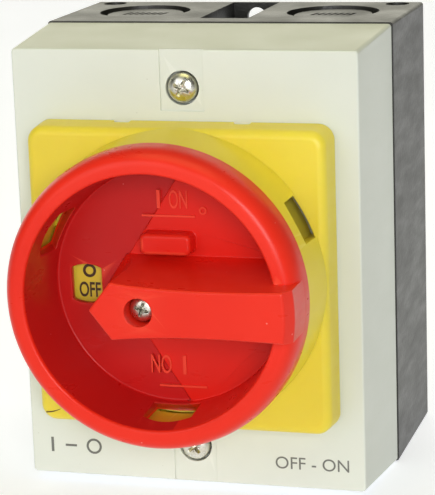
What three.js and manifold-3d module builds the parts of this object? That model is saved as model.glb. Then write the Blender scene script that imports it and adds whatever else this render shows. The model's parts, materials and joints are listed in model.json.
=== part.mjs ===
// Enclosed rotary isolator switch: a wall box with a pad-lockable handle and a four-pole cam switch inside.
// Millimetres. X points right, Y points into the wall and Z points up.
// The origin is the centre of the back face, and the switch axis is the Y axis.

import * as THREE from 'three';
import { mergeVertices } from 'three/addons/utils/BufferGeometryUtils.js';
import Module from 'manifold-3d';

const wasm = await Module();
wasm.setup();

// ---- driving dimensions ----

const GAP = 0.3;                      // clearance between touching pieces
const ROUND = 40;                     // facets round the handle and the collar
const BOX = { halfX: 39, halfZ: 49, depth: 35.3, wall: 3, back: 2.4, corner: 1.6 };
const LID = { depth: 27.05, wall: 3, front: 2.6, draftX: 1.68, draftZ: 2.17, corner: 1.6, edge: 1.5 };
const RIM = -BOX.depth;               // Y of the base's front rim
const FACE = RIM - LID.depth;         // Y of the lid's front face

const GROOVE = { outer: 1.2, inner: 3, depth: 1.6 };       // gasket groove in the lid, insets from the side
const KNOCKOUT = { x: 21.9, y: -17.6, radius: 10.25, recess: 1.1 };
const CHANNEL = { halfX: 5.4, floorZ: 42.5, front: -29.4, back: -1.5 };
const LUG = { halfX: 8.4, innerZ: 34.4 };                 // solid block round the channel
const WALL_HOLE = { z: 45.5, radius: 2.3, driverRadius: 1.9 };
const LID_SCREW = { z: 38.8, headRadius: 3.25, headHeight: 2.3, shankRadius: 1.55, length: 48, seat: 2.6,
  seal: 0.9, holeEnd: -8 };
const STRIP = { halfX: 4.7, innerZ: 34, depth: 0.4 };     // shallow recess round each lid screw
const CORNER_HOLE = { x: 33.7, y: -3.9, radius: 2.65, depth: 4.5, bossHalf: 3.8, bossDepth: 6.5 };
const POST = { radius: 3.6, hole: 1.7 };                  // screw posts on the base's back wall
const EARTH = { x: 31.2, bossHalfX: 5.7, bossHalfZ: 6, bossFront: -8, half: 4, height: 4.5 };

const PLATE = { half: 32.3, height: 8, corner: 3, skin: 2, z: -0.3, screw: 18, post: 3, pilot: 1.5 };
const NOTCH = { x: 13, halfX: 1.8, height: 2.2, depth: 0.8 };
const COLLAR = { boreRadius: 28, frontRadius: 29, baseRadius: 31.6, skirt: 1.6, front: 19.2 };
const DIAL = { front: 9, back: 6.5 };                     // the plate's inner floor
const HUB = { bore: 6.3, outer: 8.6, back: -2, lidHole: 11.2 };     // the plate's bearing tube
const HANDLE_LOCKS = [32, 152, 272];                      // padlock openings, degrees round the axis
const COLLAR_LOCKS = [27.5, 147.5, 267.5];
const LOCK_HOLE = { radius: 25.5, height: 18, tilt: 50, half: 5.1, across: 6, reach: 7 };  // cup's wall
const LOCK_SLOT = { half: 5.1, inner: 27.5, outer: 31.1, lip: 11, lipInner: 28.7, top: 13 };

const CUP = { wallRadius: 27.5, flangeRadius: 31.2, frontRadius: 30.6, rimInner: 26.3,
  floorRadius: 25, floor: 12, back: 10, flange: 19.7, rim: 28.3 };
const FLOOR_STEP = { depth: 0.5, nearX: -9.4, nearZ: 5.5, farX: 3.2, farZ: 24.6, edge: 0.8 };
const GRIP = { top: 34.5, tipX: -10.3, shoulderX: -5.7, shoulder: 5.85, waist: 4.8, end: 5.3,
  footTipX: -13.9, footShoulderX: -9.8, footShoulder: 6.3, bevel: 1.6, drop: 2.4 };
const WINDOW = { x: -18, halfX: 3.25, halfZ: 3.4, arch: 0.75 };
const THUMB = { x: 1, z: 8.5, halfX: 6, halfZ: 3, height: 15.6 };
const HANDLE_SCREW = { headRadius: 2.45, seat: 29.3, holeRadius: 2.9, shankRadius: 1.3, length: 20 };
const COUPLER = { radius: 6, groove: 4.6, grooveFront: 5.4, grooveBack: 3.4, flangeRadius: 8.6, flange: 2,
  tail: -13, postHalf: 3.6, postTop: 21.6, socketTop: 4 };

const SWITCH = { half: 23, rearHalfZ: 31, wall: 1.6, back: -5.6, deck: 13.3, bolt: 20.2, boltHole: 1.75,
  shaftHole: 5.6, hub: 5 };
const REAR_DECK = { back: SWITCH.back, front: SWITCH.back - SWITCH.deck, halfZ: SWITCH.rearHalfZ };
const FRONT_DECK = { back: REAR_DECK.front - GAP, front: REAR_DECK.front - GAP - SWITCH.deck,
  halfZ: SWITCH.half };
const DETENT_BOX = { back: FRONT_DECK.front - GAP, front: FRONT_DECK.front - GAP - 9.5 };
const TOP_COVER = { back: DETENT_BOX.front - GAP, front: DETENT_BOX.front - GAP - 2.5, boss: 2.5 };
const SHAFT = { half: 3, front: 3, bevel: 0.5, back: SWITCH.back - 2.2 };
const CAM = { high: 8, travel: 2.5, width: 5, back: 2.5, well: 9 };
const TERMINAL = { x: 12, fromEnd: 4.6, bayHalfX: 5.4, bayHeight: 9.2, bay: 5.2, plate: 1.2, hole: 1.9 };
const POLE = { plungerX: 8.3, plunger: 4.7, bridgeX: 13.3, bridge: 1.2, bridgeHalfZ: 13, button: 0.4,
  buttonZ: 11.4, springEnd: 20.9, width: 5, guide: 3.1 };
const STRIP_X = { inner: 8.9, outer: 10.1, end: 9.6 };    // contact strip beside the bridge
const SPRING = { radius: 1.8, wire: 0.32, turns: 4 };
const DETENT = { lobe: 8.6, notch: 7.4, well: 9.6, width: 5.5, plunger: 6, springEnd: 20.1, guide: 3.3 };

const RED = new THREE.MeshStandardMaterial({ color: 0xe23222, roughness: 0.38, metalness: 0 });
const YELLOW = new THREE.MeshStandardMaterial({ color: 0xf0d43c, roughness: 0.42, metalness: 0 });
const LIGHT_GREY = new THREE.MeshStandardMaterial({ color: 0xd6d7c6, roughness: 0.5, metalness: 0 });
const DARK_GREY = new THREE.MeshStandardMaterial({ color: 0x4a4a46, roughness: 0.6, metalness: 0 });
const BLACK = new THREE.MeshStandardMaterial({ color: 0x1c1c1c, roughness: 0.5, metalness: 0 });
const RUBBER = new THREE.MeshStandardMaterial({ color: 0x2a2a2a, roughness: 0.85, metalness: 0 });
const NATURAL = new THREE.MeshStandardMaterial({ color: 0xd8d2c0, roughness: 0.5, metalness: 0 });
const ZINC = new THREE.MeshStandardMaterial({ color: 0xc4c4c0, roughness: 0.3, metalness: 1 });
const COPPER = new THREE.MeshStandardMaterial({ color: 0xb87345, roughness: 0.35, metalness: 1 });
const BRASS = new THREE.MeshStandardMaterial({ color: 0xc9a24a, roughness: 0.35, metalness: 1 });

// ---- solid modelling helpers ----

const front = (height) => FACE - height;      // Y of a plane this far in front of the lid
const ordered = (scale, a, b) => [a * scale, b * scale].sort((p, q) => p - q);

function solid(geometry) {
  const bare = geometry.clone();
  for (const name of Object.keys(bare.attributes)) {
    if (name !== 'position') bare.deleteAttribute(name);
  }
  const merged = mergeVertices(bare, 1e-4);
  const point = merged.attributes.position;
  const index = Array.from(merged.index.array);
  const triangles = [];
  let volume = 0;
  for (let i = 0; i < index.length; i += 3) {
    const [a, b, c] = index.slice(i, i + 3);
    if (a === b || b === c || c === a) continue;
    triangles.push(a, b, c);
    const corner = [a, b, c].map((n) => new THREE.Vector3().fromBufferAttribute(point, n));
    volume += corner[0].dot(corner[1].cross(corner[2]));
  }
  if (volume < 0) triangles.reverse();
  return new wasm.Manifold(new wasm.Mesh({
    numProp: 3,
    vertProperties: new Float32Array(point.array),
    triVerts: new Uint32Array(triangles),
  }));
}

function join(first, ...others) {
  return others.reduce((sum, other) => sum.add(other), first);
}

function cut(first, ...others) {
  return others.reduce((rest, other) => rest.subtract(other), first);
}

function block(x0, x1, y0, y1, z0, z1) {
  const geometry = new THREE.BoxGeometry(x1 - x0, y1 - y0, z1 - z0);
  return solid(geometry.translate((x0 + x1) / 2, (y0 + y1) / 2, (z0 + z1) / 2));
}

// A rod along Y; radiusFront is its radius at y0, the end nearer the user.
function rod(radius, y0, y1, x = 0, z = 0, sides = 24, radiusFront = radius) {
  const geometry = new THREE.CylinderGeometry(radius, radiusFront, y1 - y0, sides);
  return solid(geometry.translate(x, (y0 + y1) / 2, z));
}

function rodAlongZ(radius, z0, z1, x, y, sides = 24) {
  const geometry = new THREE.CylinderGeometry(radius, radius, z1 - z0, sides).rotateX(Math.PI / 2);
  return solid(geometry.translate(x, y, (z0 + z1) / 2));
}

// An outline drawn in X and Z, extruded along Y.
function slab(shape, y0, y1, curveSegments = 6) {
  const geometry = new THREE.ExtrudeGeometry(shape, { depth: y1 - y0, bevelEnabled: false, curveSegments });
  return solid(geometry.rotateX(Math.PI / 2).translate(0, y1, 0));
}

// A profile of [radius, y] pairs turned round the Y axis.
function turned(profile, sides = 40) {
  return solid(new THREE.LatheGeometry(profile.map(([r, y]) => new THREE.Vector2(r, y)), sides));
}

// A closed skin through rings with equal numbers of points, each ring a list of Vector3.
function skin(rings) {
  const count = rings[0].length;
  const position = rings.flat().flatMap((p) => [p.x, p.y, p.z]);
  const index = [];
  for (let r = 0; r + 1 < rings.length; r += 1) {
    for (let i = 0; i < count; i += 1) {
      const a = r * count + i;
      const b = r * count + (i + 1) % count;
      index.push(a, b, a + count, b, b + count, a + count);
    }
  }
  for (const [ring, flip] of [[0, true], [rings.length - 1, false]]) {
    const outline = rings[ring].map((p) => new THREE.Vector2(p.x, p.z));
    for (const face of THREE.ShapeUtils.triangulateShape(outline, [])) {
      const [a, b, c] = face.map((n) => n + ring * count);
      index.push(...(flip ? [c, b, a] : [a, b, c]));
    }
  }
  const geometry = new THREE.BufferGeometry();
  geometry.setAttribute('position', new THREE.Float32BufferAttribute(position, 3));
  geometry.setIndex(index);
  return solid(geometry);
}

function roundedRing(halfX, halfZ, corner, y, steps = 4, centreZ = 0) {
  const ring = [];
  for (let quarter = 0; quarter < 4; quarter += 1) {
    for (let i = 0; i <= steps; i += 1) {
      const turn = (quarter + i / steps) * Math.PI / 2;
      const sideX = quarter === 0 || quarter === 3 ? 1 : -1;
      const sideZ = quarter < 2 ? 1 : -1;
      ring.push(new THREE.Vector3(
        sideX * (halfX - corner) + corner * Math.cos(turn), y,
        centreZ + sideZ * (halfZ - corner) + corner * Math.sin(turn)));
    }
  }
  return ring;
}

// A rounded rectangular body; each level is [y, halfX, halfZ, corner radius].
function roundedBody(levels, steps = 4, centreZ = 0) {
  return skin(levels.map(([y, halfX, halfZ, corner]) =>
    roundedRing(halfX, halfZ, corner, y, steps, centreZ)));
}

function turnedAbout(shape, degrees) {
  return shape.rotate([0, -degrees, 0]);      // counter-clockwise as the user sees it
}

// A named mesh of one solid, placed in its group.
function piece(part, name, finish, position = [0, 0, 0], spin = [0, 0, 0]) {
  const data = part.getMesh();
  const vertices = new Float32Array((data.vertProperties.length / data.numProp) * 3);
  for (let i = 0; i < vertices.length / 3; i += 1) {
    for (let axis = 0; axis < 3; axis += 1) {
      vertices[i * 3 + axis] = data.vertProperties[i * data.numProp + axis];
    }
  }
  const geometry = new THREE.BufferGeometry();
  geometry.setAttribute('position', new THREE.BufferAttribute(vertices, 3));
  geometry.setIndex(new THREE.BufferAttribute(new Uint32Array(data.triVerts), 1));
  geometry.computeVertexNormals();
  const mesh = new THREE.Mesh(geometry, finish);
  mesh.name = name;
  mesh.position.set(...position);
  mesh.rotation.set(...spin);
  return mesh;
}

// ---- enclosure ----

// The land under the gasket runs round the rim and dips inside each lid screw.
function rimPath(inset) {
  const x = BOX.halfX - inset;
  const z = BOX.halfZ - inset;
  const lugX = LUG.halfX + inset - BOX.wall;
  const lugZ = LUG.innerZ - inset + BOX.wall;
  return [[x, z], [lugX, z], [lugX, lugZ], [-lugX, lugZ], [-lugX, z], [-x, z],
    [-x, -z], [-lugX, -z], [-lugX, -lugZ], [lugX, -lugZ], [lugX, -z], [x, -z]];
}

function outlineOf(points) {
  return new THREE.Shape(points.map(([x, z]) => new THREE.Vector2(x, z)));
}

function cornerHoles(part, side) {
  const { halfX, halfZ } = BOX;
  const { x, y, radius, depth, bossHalf, bossDepth } = CORNER_HOLE;
  let result = part;
  for (const hand of [1, -1]) {
    const boss = block(...ordered(hand, x - bossHalf, halfX - 1), y - bossHalf, -1,
      ...ordered(side, halfZ - bossDepth, halfZ - 1));
    const hole = rodAlongZ(radius, ...ordered(side, halfZ - depth, halfZ + 1), hand * x, y, 12);
    result = cut(join(result, boss), hole);
  }
  return result;
}

function baseBox() {
  const { halfX, halfZ, wall, back, corner } = BOX;
  let part = roundedBody([[RIM, halfX, halfZ, corner], [-0.6, halfX, halfZ, corner],
    [0, halfX - 0.6, halfZ - 0.6, corner]]);
  part = cut(part, slab(outlineOf(rimPath(wall)), RIM - 1, -back));
  for (const side of [1, -1]) {
    part = cut(part,
      block(-CHANNEL.halfX, CHANNEL.halfX, CHANNEL.front, CHANNEL.back,
        ...ordered(side, CHANNEL.floorZ, halfZ + 1)),
      rod(WALL_HOLE.radius, -5, 1, 0, side * WALL_HOLE.z, 12),
      rod(WALL_HOLE.driverRadius, RIM - 1, CHANNEL.front + 1, 0, side * WALL_HOLE.z, 12),
      rod(LID_SCREW.shankRadius + 0.2, RIM - 1, LID_SCREW.holeEnd, 0, side * LID_SCREW.z, 12));
    for (const x of [KNOCKOUT.x, -KNOCKOUT.x]) {
      const recess = ordered(side, halfZ - KNOCKOUT.recess, halfZ + 1);
      part = cut(part, rodAlongZ(KNOCKOUT.radius, ...recess, x, KNOCKOUT.y));
    }
    part = cornerHoles(part, side);
    part = join(part, rod(POST.radius, SWITCH.back + GAP, -1, side * SWITCH.bolt, -side * SWITCH.bolt));
    part = cut(part, rod(POST.hole, SWITCH.back - 1, -1.2, side * SWITCH.bolt, -side * SWITCH.bolt, 12));
  }
  const { x, bossHalfX, bossHalfZ, bossFront } = EARTH;
  part = join(part, block(x - bossHalfX, halfX - 2, bossFront, -1, -bossHalfZ, bossHalfZ));
  return cut(part, rod(POST.hole, bossFront - 1, -1.5, x, 0, 12));
}

function earthTerminal() {
  const { half, height } = EARTH;
  return cut(block(-half, half, -height, 0, -half, half), rod(POST.hole, -height - 1, 1, 0, 0, 12));
}

function gasket() {
  const ring = slab(outlineOf(rimPath(GROOVE.outer + GAP)), RIM - GROOVE.depth, RIM - GAP);
  return cut(ring, slab(outlineOf(rimPath(GROOVE.inner - GAP)), RIM - 3, RIM + 1));
}

function lid() {
  const { wall, corner, draftX, draftZ, depth, edge } = LID;
  const { halfX, halfZ } = BOX;
  const level = (y, inset) => {
    const share = (RIM - y) / depth;
    return [y, halfX - draftX * share - inset, halfZ - draftZ * share - inset, corner];
  };
  const shell = roundedBody([level(FACE, edge), level(FACE + edge * 0.3, edge * 0.3), level(FACE + edge, 0),
    level(RIM - GAP, 0)]);
  let hollow = roundedBody([level(FACE + LID.front, wall + 0.2), level(RIM + 1, wall)]);
  for (const side of [1, -1]) {
    const lug = ordered(side, LUG.innerZ, halfZ);
    hollow = cut(hollow, block(-LUG.halfX, LUG.halfX, FACE, RIM + 2, ...lug));
  }
  const groove = cut(slab(outlineOf(rimPath(GROOVE.outer)), RIM - GROOVE.depth - GAP, RIM + 1),
    slab(outlineOf(rimPath(GROOVE.inner)), RIM - 3, RIM + 2));
  let part = cut(shell, hollow, groove, rod(HUB.lidHole, FACE - 1, FACE + LID.front + 1, 0, 0, ROUND));
  for (const side of [1, -1]) {
    const screwZ = side * LID_SCREW.z;
    part = cut(part,
      block(-STRIP.halfX, STRIP.halfX, FACE - 1, FACE + STRIP.depth,
        ...ordered(side, STRIP.innerZ, halfZ + 1)),
      rod(LID_SCREW.headRadius + 0.45, FACE - 1, FACE + LID_SCREW.seat, 0, screwZ, 16),
      rod(LID_SCREW.shankRadius + 0.4, FACE - 1, RIM + 2, 0, screwZ, 12),
      rod(PLATE.pilot, FACE - 1, FACE + LID.front + 1, side * PLATE.screw, side * PLATE.screw, 12));
  }
  return part;
}

// A pan-head screw with its head's underside at the origin and its tip at +Y.
function panScrew(headRadius, headHeight, shankRadius, length, crossHalf = headRadius * 0.55) {
  const body = turned([[0, -headHeight], [headRadius * 0.5, -headHeight * 0.93],
    [headRadius * 0.86, -headHeight * 0.62], [headRadius, -headHeight * 0.2], [headRadius, 0],
    [shankRadius, 0],
    [shankRadius, length - shankRadius * 0.8], [0, length]], 12);
  const arm = headRadius * 0.13;
  const depth = headHeight * 0.7;
  return cut(body,
    block(-crossHalf, crossHalf, -headHeight - 1, -headHeight + depth, -arm, arm),
    block(-arm, arm, -headHeight - 1, -headHeight + depth, -crossHalf, crossHalf));
}

// A slotted terminal screw with its head's underside at the origin.
function terminalScrew(headRadius, headHeight, shankRadius, length) {
  const body = turned([[0, -headHeight], [headRadius * 0.9, -headHeight], [headRadius, -headHeight + 0.3],
    [headRadius, 0], [shankRadius, 0], [shankRadius, length], [0, length]], 10);
  return cut(body, block(-headRadius - 1, headRadius + 1, -headHeight - 1, -headHeight + 0.9, -0.4, 0.4));
}

function washer(inner, outer, thickness) {
  return cut(rod(outer, 0, thickness, 0, 0, 16), rod(inner, -1, thickness + 1, 0, 0, 12));
}

// ---- plate and handle ----

function escutcheon() {
  const { half, height, corner, skin: thick, z } = PLATE;
  const { boreRadius, frontRadius, baseRadius, skirt } = COLLAR;
  const plate = roundedBody([
    [front(height), half - 2.2, half - 2.2, corner], [front(height - 0.7), half - 1, half - 1, corner],
    [front(height - 2), half - 0.35, half - 0.35, corner], [front(GAP), half, half, corner]], 4, z);
  const cavity = roundedBody([
    [front(height - thick), half - thick - 1.2, half - thick - 1.2, corner - 1],
    [front(-1), half - thick, half - thick, corner - 1]], 4, z);
  const cone = turned([[0, front(GAP)], [baseRadius - skirt, front(GAP)],
    [baseRadius - skirt, front(height - 1)], [baseRadius + 0.2, front(height - 1)],
    [baseRadius, front(height)], [frontRadius + 0.3, front(COLLAR.front - 0.3)],
    [frontRadius, front(COLLAR.front)], [0, front(COLLAR.front)]], ROUND);
  let part = cut(join(cut(plate, cavity), cone),
    rod(boreRadius, front(COLLAR.front + 1), front(DIAL.front), 0, 0, ROUND),
    rod(boreRadius, front(DIAL.back), front(-1), 0, 0, ROUND));
  part = join(part, rod(HUB.outer, front(DIAL.back + 1), front(HUB.back)));
  for (const place of [PLATE.screw, -PLATE.screw]) {
    part = join(part, rod(PLATE.post, front(DIAL.back + 1), front(GAP), place, place));
    part = cut(part, rod(PLATE.pilot, front(DIAL.back - 1), front(-1), place, place, 12));
  }
  part = cut(part, rod(HUB.bore, front(DIAL.front + 1), front(HUB.back - 1)));
  for (const angle of COLLAR_LOCKS) {
    const { half: w, inner, outer, lip, lipInner, top } = LOCK_SLOT;
    const tools = [block(inner, outer, front(height + 0.2), front(-2), -w, w),
      block(inner, outer + 1, front(lip), front(height), -w, w),
      block(lipInner, outer + 1, front(top), front(lip - 0.2), -w, w)];
    part = cut(part, ...tools.map((tool) => turnedAbout(tool, angle)));
  }
  for (const x of [NOTCH.x, -NOTCH.x]) {
    const edge = half + z;
    part = cut(part, block(x - NOTCH.halfX, x + NOTCH.halfX, front(NOTCH.height), front(-1),
      edge - NOTCH.depth, edge + 1));
  }
  return part;
}

// The grip's outline at one level: blend 0 is the flat top and blend 1 the foot on the cup's floor.
function gripRing(height, blend, inset = 0) {
  const mix = (top, foot) => top + (foot - top) * blend;
  const tip = mix(GRIP.tipX, GRIP.footTipX) + inset * 1.4;
  const shoulderX = mix(GRIP.shoulderX, GRIP.footShoulderX) + inset * 0.6;
  const shoulder = mix(GRIP.shoulder, GRIP.footShoulder) - inset;
  const waist = mix(GRIP.waist, GRIP.footShoulder) - inset;
  const end = mix(GRIP.end, GRIP.footShoulder) - inset;
  const reach = CUP.flangeRadius + 2;
  const edge = [[tip, 0], [shoulderX, shoulder]];
  const steps = 5;
  for (let i = 1; i < steps; i += 1) {
    const t = i / steps;
    const bow = 4 * t * (1 - t);
    const straight = shoulder * (1 - t) + end * t;
    edge.push([shoulderX + (reach - shoulderX) * t, straight * (1 - bow) + waist * bow]);
  }
  edge.push([reach, end]);
  const mirror = edge.slice(1).reverse().map(([x, z]) => [x, -z]);
  return [...edge, ...mirror].reverse().map(([x, z]) => new THREE.Vector3(x, front(height), z));
}

function grip() {
  const { top, bevel, drop } = GRIP;
  const levels = [[top, 0, 0.45], [top - 0.5, 0, 0], [24, 0.02, 0], [20, 0.1, 0], [16.5, 0.28, 0],
    [14, 0.55, 0], [12.6, 0.85, 0], [CUP.back + 1, 1, 0]];
  const body = skin(levels.map(([height, blend, inset]) => gripRing(height, blend, inset)));
  const envelope = turned([[0, front(CUP.back + 0.5)], [CUP.floorRadius + 1, front(CUP.back + 0.5)],
    [CUP.floorRadius + 1.4, front(CUP.flange + 0.5)], [CUP.flangeRadius, front(CUP.flange + 0.5)],
    [CUP.flangeRadius, front(top - drop)], [CUP.flangeRadius - bevel, front(top)], [0, front(top)]], ROUND);
  return body.intersect(envelope);
}

function cup() {
  const { wallRadius, flangeRadius, frontRadius, rimInner, floorRadius, floor, back, flange, rim } = CUP;
  return turned([[0, front(back)], [wallRadius - 0.5, front(back)], [wallRadius, front(back + 0.5)],
    [wallRadius, front(flange)], [flangeRadius - 0.5, front(flange)], [flangeRadius, front(flange + 0.6)],
    [frontRadius, front(rim - 1.4)], [frontRadius - 0.4, front(rim - 0.5)], [frontRadius - 1.3, front(rim)],
    [rimInner + 0.9, front(rim)], [rimInner + 0.25, front(rim - 0.35)], [rimInner, front(rim - 1.1)],
    [floorRadius, front(floor + 0.2)], [floorRadius - 0.3, front(floor)], [0, front(floor)]], ROUND);
}

// The floor is a little lower on the pointer's side of two slanting lines.
function loweredFloor() {
  const { depth, nearX, nearZ, farX, farZ, edge } = FLOOR_STEP;
  const { floor, floorRadius } = CUP;
  const disc = rod(floorRadius - edge, front(floor + 1), front(floor - 1), 0, 0, ROUND);
  return [1, -1].map((side) => {
    const outline = [[nearX - 2, 0], [nearX, side * nearZ], [farX, side * farZ], [farX, side * 30],
      [-30, side * 30], [-30, 0]];
    return slab(outlineOf(outline), front(floor + 0.1), front(floor - depth)).intersect(disc);
  });
}

function dialWindow() {
  const { x, halfX, halfZ, arch } = WINDOW;
  const shape = new THREE.Shape();
  shape.moveTo(x - halfX, -halfZ);
  shape.quadraticCurveTo(x, -halfZ - arch * 2, x + halfX, -halfZ);
  shape.lineTo(x + halfX, halfZ);
  shape.quadraticCurveTo(x, halfZ + arch * 2, x - halfX, halfZ);
  return slab(shape, front(CUP.floor + 2), front(CUP.back - 1), 8);
}

function handle() {
  const { floor, back } = CUP;
  const thumbRest = roundedBody([[front(THUMB.height), THUMB.halfX, THUMB.halfZ, 1],
    [front(floor - 1), THUMB.halfX + 0.3, THUMB.halfZ + 0.2, 1]], 3).translate([THUMB.x, 0, THUMB.z]);
  let part = join(cut(cup(), ...loweredFloor()), grip(), thumbRest);
  for (const angle of HANDLE_LOCKS) {
    const { radius, height, tilt, half, across, reach } = LOCK_HOLE;
    const hole = block(-reach, reach, -across / 2, across / 2, -half, half).rotate([0, 0, tilt]);
    part = cut(part, turnedAbout(hole.translate([radius, front(height), 0]), angle));
  }
  const socket = COUPLER.postHalf + 0.4;
  return cut(part, dialWindow(),
    rod(HANDLE_SCREW.holeRadius, front(GRIP.top + 1), front(HANDLE_SCREW.seat - GAP)),
    rod(HANDLE_SCREW.shankRadius + 0.4, front(GRIP.top + 1), front(back - 1), 0, 0, 12),
    block(-socket, socket, front(COUPLER.postTop + 0.4), front(back - 1), -socket, socket));
}

function coupler() {
  const { radius, groove, grooveFront, grooveBack, flangeRadius, flange, tail, postHalf, postTop } = COUPLER;
  const collar = HUB.back - GAP;
  const body = turned([[0, front(DIAL.front)], [radius - 0.3, front(DIAL.front)],
    [radius, front(DIAL.front - 0.3)], [radius, front(grooveFront)], [groove, front(grooveFront)],
    [groove, front(grooveBack)], [radius, front(grooveBack)], [radius, front(collar)],
    [flangeRadius, front(collar)], [flangeRadius, front(collar - flange)], [radius, front(collar - flange)],
    [radius, front(tail)], [0, front(tail)]], 24);
  const post = block(-postHalf, postHalf, front(postTop), front(DIAL.front - 1), -postHalf, postHalf);
  const socket = SHAFT.half + 0.35;
  return cut(join(body, post),
    block(-socket, socket, front(COUPLER.socketTop), front(tail - 1), -socket, socket),
    rod(HANDLE_SCREW.shankRadius + 0.2, front(postTop + 1), front(3), 0, 0, 12));
}

function sealRing(radius, thickness) {
  return solid(new THREE.TorusGeometry(radius, thickness, 6, 20).rotateX(Math.PI / 2));
}

// ---- switch block ----

function shaft() {
  const { half, bevel } = SHAFT;
  return roundedBody([[front(SHAFT.front), half - bevel, half - bevel, 0.4],
    [front(SHAFT.front - bevel * 2), half, half, 0.4], [SHAFT.back, half, half, 0.4]], 2);
}

// An outline whose radius follows the angle round the axis.
function polarOutline(radiusAt, steps) {
  const points = [];
  for (let i = 0; i < steps; i += 1) {
    const angle = (i / steps) * 2 * Math.PI;
    const radius = radiusAt(angle);
    points.push([radius * Math.cos(angle), radius * Math.sin(angle)]);
  }
  return outlineOf(points);
}

// The cam's radius falls by the travel over a quarter turn, then rises over the next quarter.
function camRadius(angle) {
  const phase = (angle % Math.PI) / (Math.PI / 2);
  return CAM.high - CAM.travel * (phase <= 1 ? phase : 2 - phase);
}

function squareSocket(level) {
  const half = SHAFT.half + GAP;
  return block(-half, half, level.front - 1, level.back + 1, -half, half);
}

function cam(level) {
  const disc = level.back - SWITCH.wall - CAM.back;
  const hub = rod(SWITCH.hub, level.front + 1.2, level.back - 0.6);
  return cut(join(slab(polarOutline(camRadius, 24), disc - CAM.width, disc), hub), squareSocket(level));
}

function boltHoles(part, level) {
  const corners = [[1, 1], [1, -1], [-1, 1], [-1, -1]];
  return cut(part, ...corners.map(([x, z]) =>
    rod(SWITCH.boltHole, level.front - 4, level.back + 1, x * SWITCH.bolt, z * SWITCH.bolt, 12)));
}

// One moulded deck, open at its front; terminals sit in bays at its upper and lower ends.
function deck(level) {
  const { half, wall, shaftHole } = SWITCH;
  const open = level.front - 1;
  const floor = level.back - wall;
  const { springEnd, guide, bridgeHalfZ } = POLE;
  let part = roundedBody([[level.front, half, level.halfZ, 1], [level.back, half, level.halfZ, 1]], 2);
  part = cut(part, block(-springEnd, springEnd, open, floor, -guide, guide), rod(CAM.well, open, floor),
    rod(shaftHole, open, level.back + 1));
  for (const side of [1, -1]) {
    const room = bridgeHalfZ + 1.2;
    part = cut(part, block(...ordered(side, STRIP_X.inner - GAP, 15), open, floor, -room, room));
    for (const up of [1, -1]) {
      const { x, bayHalfX, bayHeight, bay, fromEnd, hole } = TERMINAL;
      part = cut(part,
        block(...ordered(side, STRIP_X.inner - GAP, STRIP_X.outer + 1.1), open, floor,
          ...ordered(up, bridgeHalfZ, level.halfZ - 6.5)),
        block(...ordered(side, x - bayHalfX, x + bayHalfX), open, floor - bay,
          ...ordered(up, level.halfZ - bayHeight, level.halfZ + 1)),
        rod(hole, open, floor + 0.6, side * x, up * (level.halfZ - fromEnd), 12));
    }
  }
  return boltHoles(part, level);
}

// A terminal plate, with its hole at the origin, and the strip from it to the bridge.
function fixedContact(level, hand) {
  const { x, plate, fromEnd, hole } = TERMINAL;
  const reach = level.halfZ - fromEnd - STRIP_X.end;
  const strip = block(...ordered(hand, STRIP_X.inner - x, STRIP_X.outer - x), -plate, 5, -reach, -2.9);
  return cut(join(block(-5, 5, -plate, 0, -4.3, 4), strip), rod(hole, -3, 1, 0, 0, 12));
}

function plunger(hand) {
  const end = POLE.plunger;
  const outline = [[0, 0], [1.6, 2.3], [end, 2.3], [end, -2.3], [1.6, -2.3]];
  return slab(outlineOf(outline.map(([x, z]) => [x * hand, z])), 0, POLE.width);
}

function bridge(hand) {
  const { bridge: thick, bridgeHalfZ, button, buttonZ, width } = POLE;
  const contact = (z) => block(...ordered(hand, -button, 0.2), 0.6, width - 0.6, z - 1.3, z + 1.3);
  return join(block(...ordered(hand, 0, thick), 0, width, -bridgeHalfZ, bridgeHalfZ), contact(buttonZ),
    contact(-buttonZ));
}

class Helix extends THREE.Curve {
  constructor(radius, length, turns) {
    super();
    this.radius = radius;
    this.length = length;
    this.turns = turns;
  }

  getPoint(t, target = new THREE.Vector3()) {
    const angle = t * this.turns * 2 * Math.PI;
    return target.set(t * this.length, this.radius * Math.cos(angle), this.radius * Math.sin(angle));
  }
}

// A coil spring along +X from the origin, made of round wire.
function spring(length) {
  const { radius, wire, turns } = SPRING;
  const section = new THREE.Shape();
  section.absarc(0, 0, wire, 0, 2 * Math.PI);
  const path = new Helix(radius, length - 2 * wire, turns);
  const geometry = new THREE.ExtrudeGeometry(section,
    { steps: turns * 6, curveSegments: 2, extrudePath: path, bevelEnabled: false });
  return solid(geometry).translate([wire, 0, 0]);
}

function detentHousing(level) {
  const { half, wall, shaftHole } = SWITCH;
  const floor = level.back - wall;
  const { well, guide, springEnd } = DETENT;
  const body = roundedBody([[level.front, half, half, 1], [level.back, half, half, 1]], 2);
  return boltHoles(cut(body, rod(well, level.front - 1, floor),
    rod(shaftHole, level.front - 1, level.back + 1),
    block(-guide, guide, level.front - 1, floor, -springEnd - GAP, springEnd + GAP)), level);
}

// Four notches, one every quarter turn.
function starRadius(angle) {
  const rise = Math.min(1, Math.abs(Math.sin(2 * angle)) * 2.2);
  return DETENT.notch + (DETENT.lobe - DETENT.notch) * rise;
}

function detentWheel(level) {
  const back = level.back - SWITCH.wall - 0.6;
  const star = slab(polarOutline(starRadius, 32), back - DETENT.width, back);
  return cut(join(star, rod(SWITCH.hub, level.front + 0.8, level.back - 0.6)), squareSocket(level));
}

// A detent plunger with its nose at the origin and its body above.
function detentPlunger() {
  const top = DETENT.plunger;
  const outline = [[-0.6, 0], [0.6, 0], [2.9, 2.6], [2.9, top], [-2.9, top], [-2.9, 2.6]];
  return slab(outlineOf(outline), 0, POLE.width);
}

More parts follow.
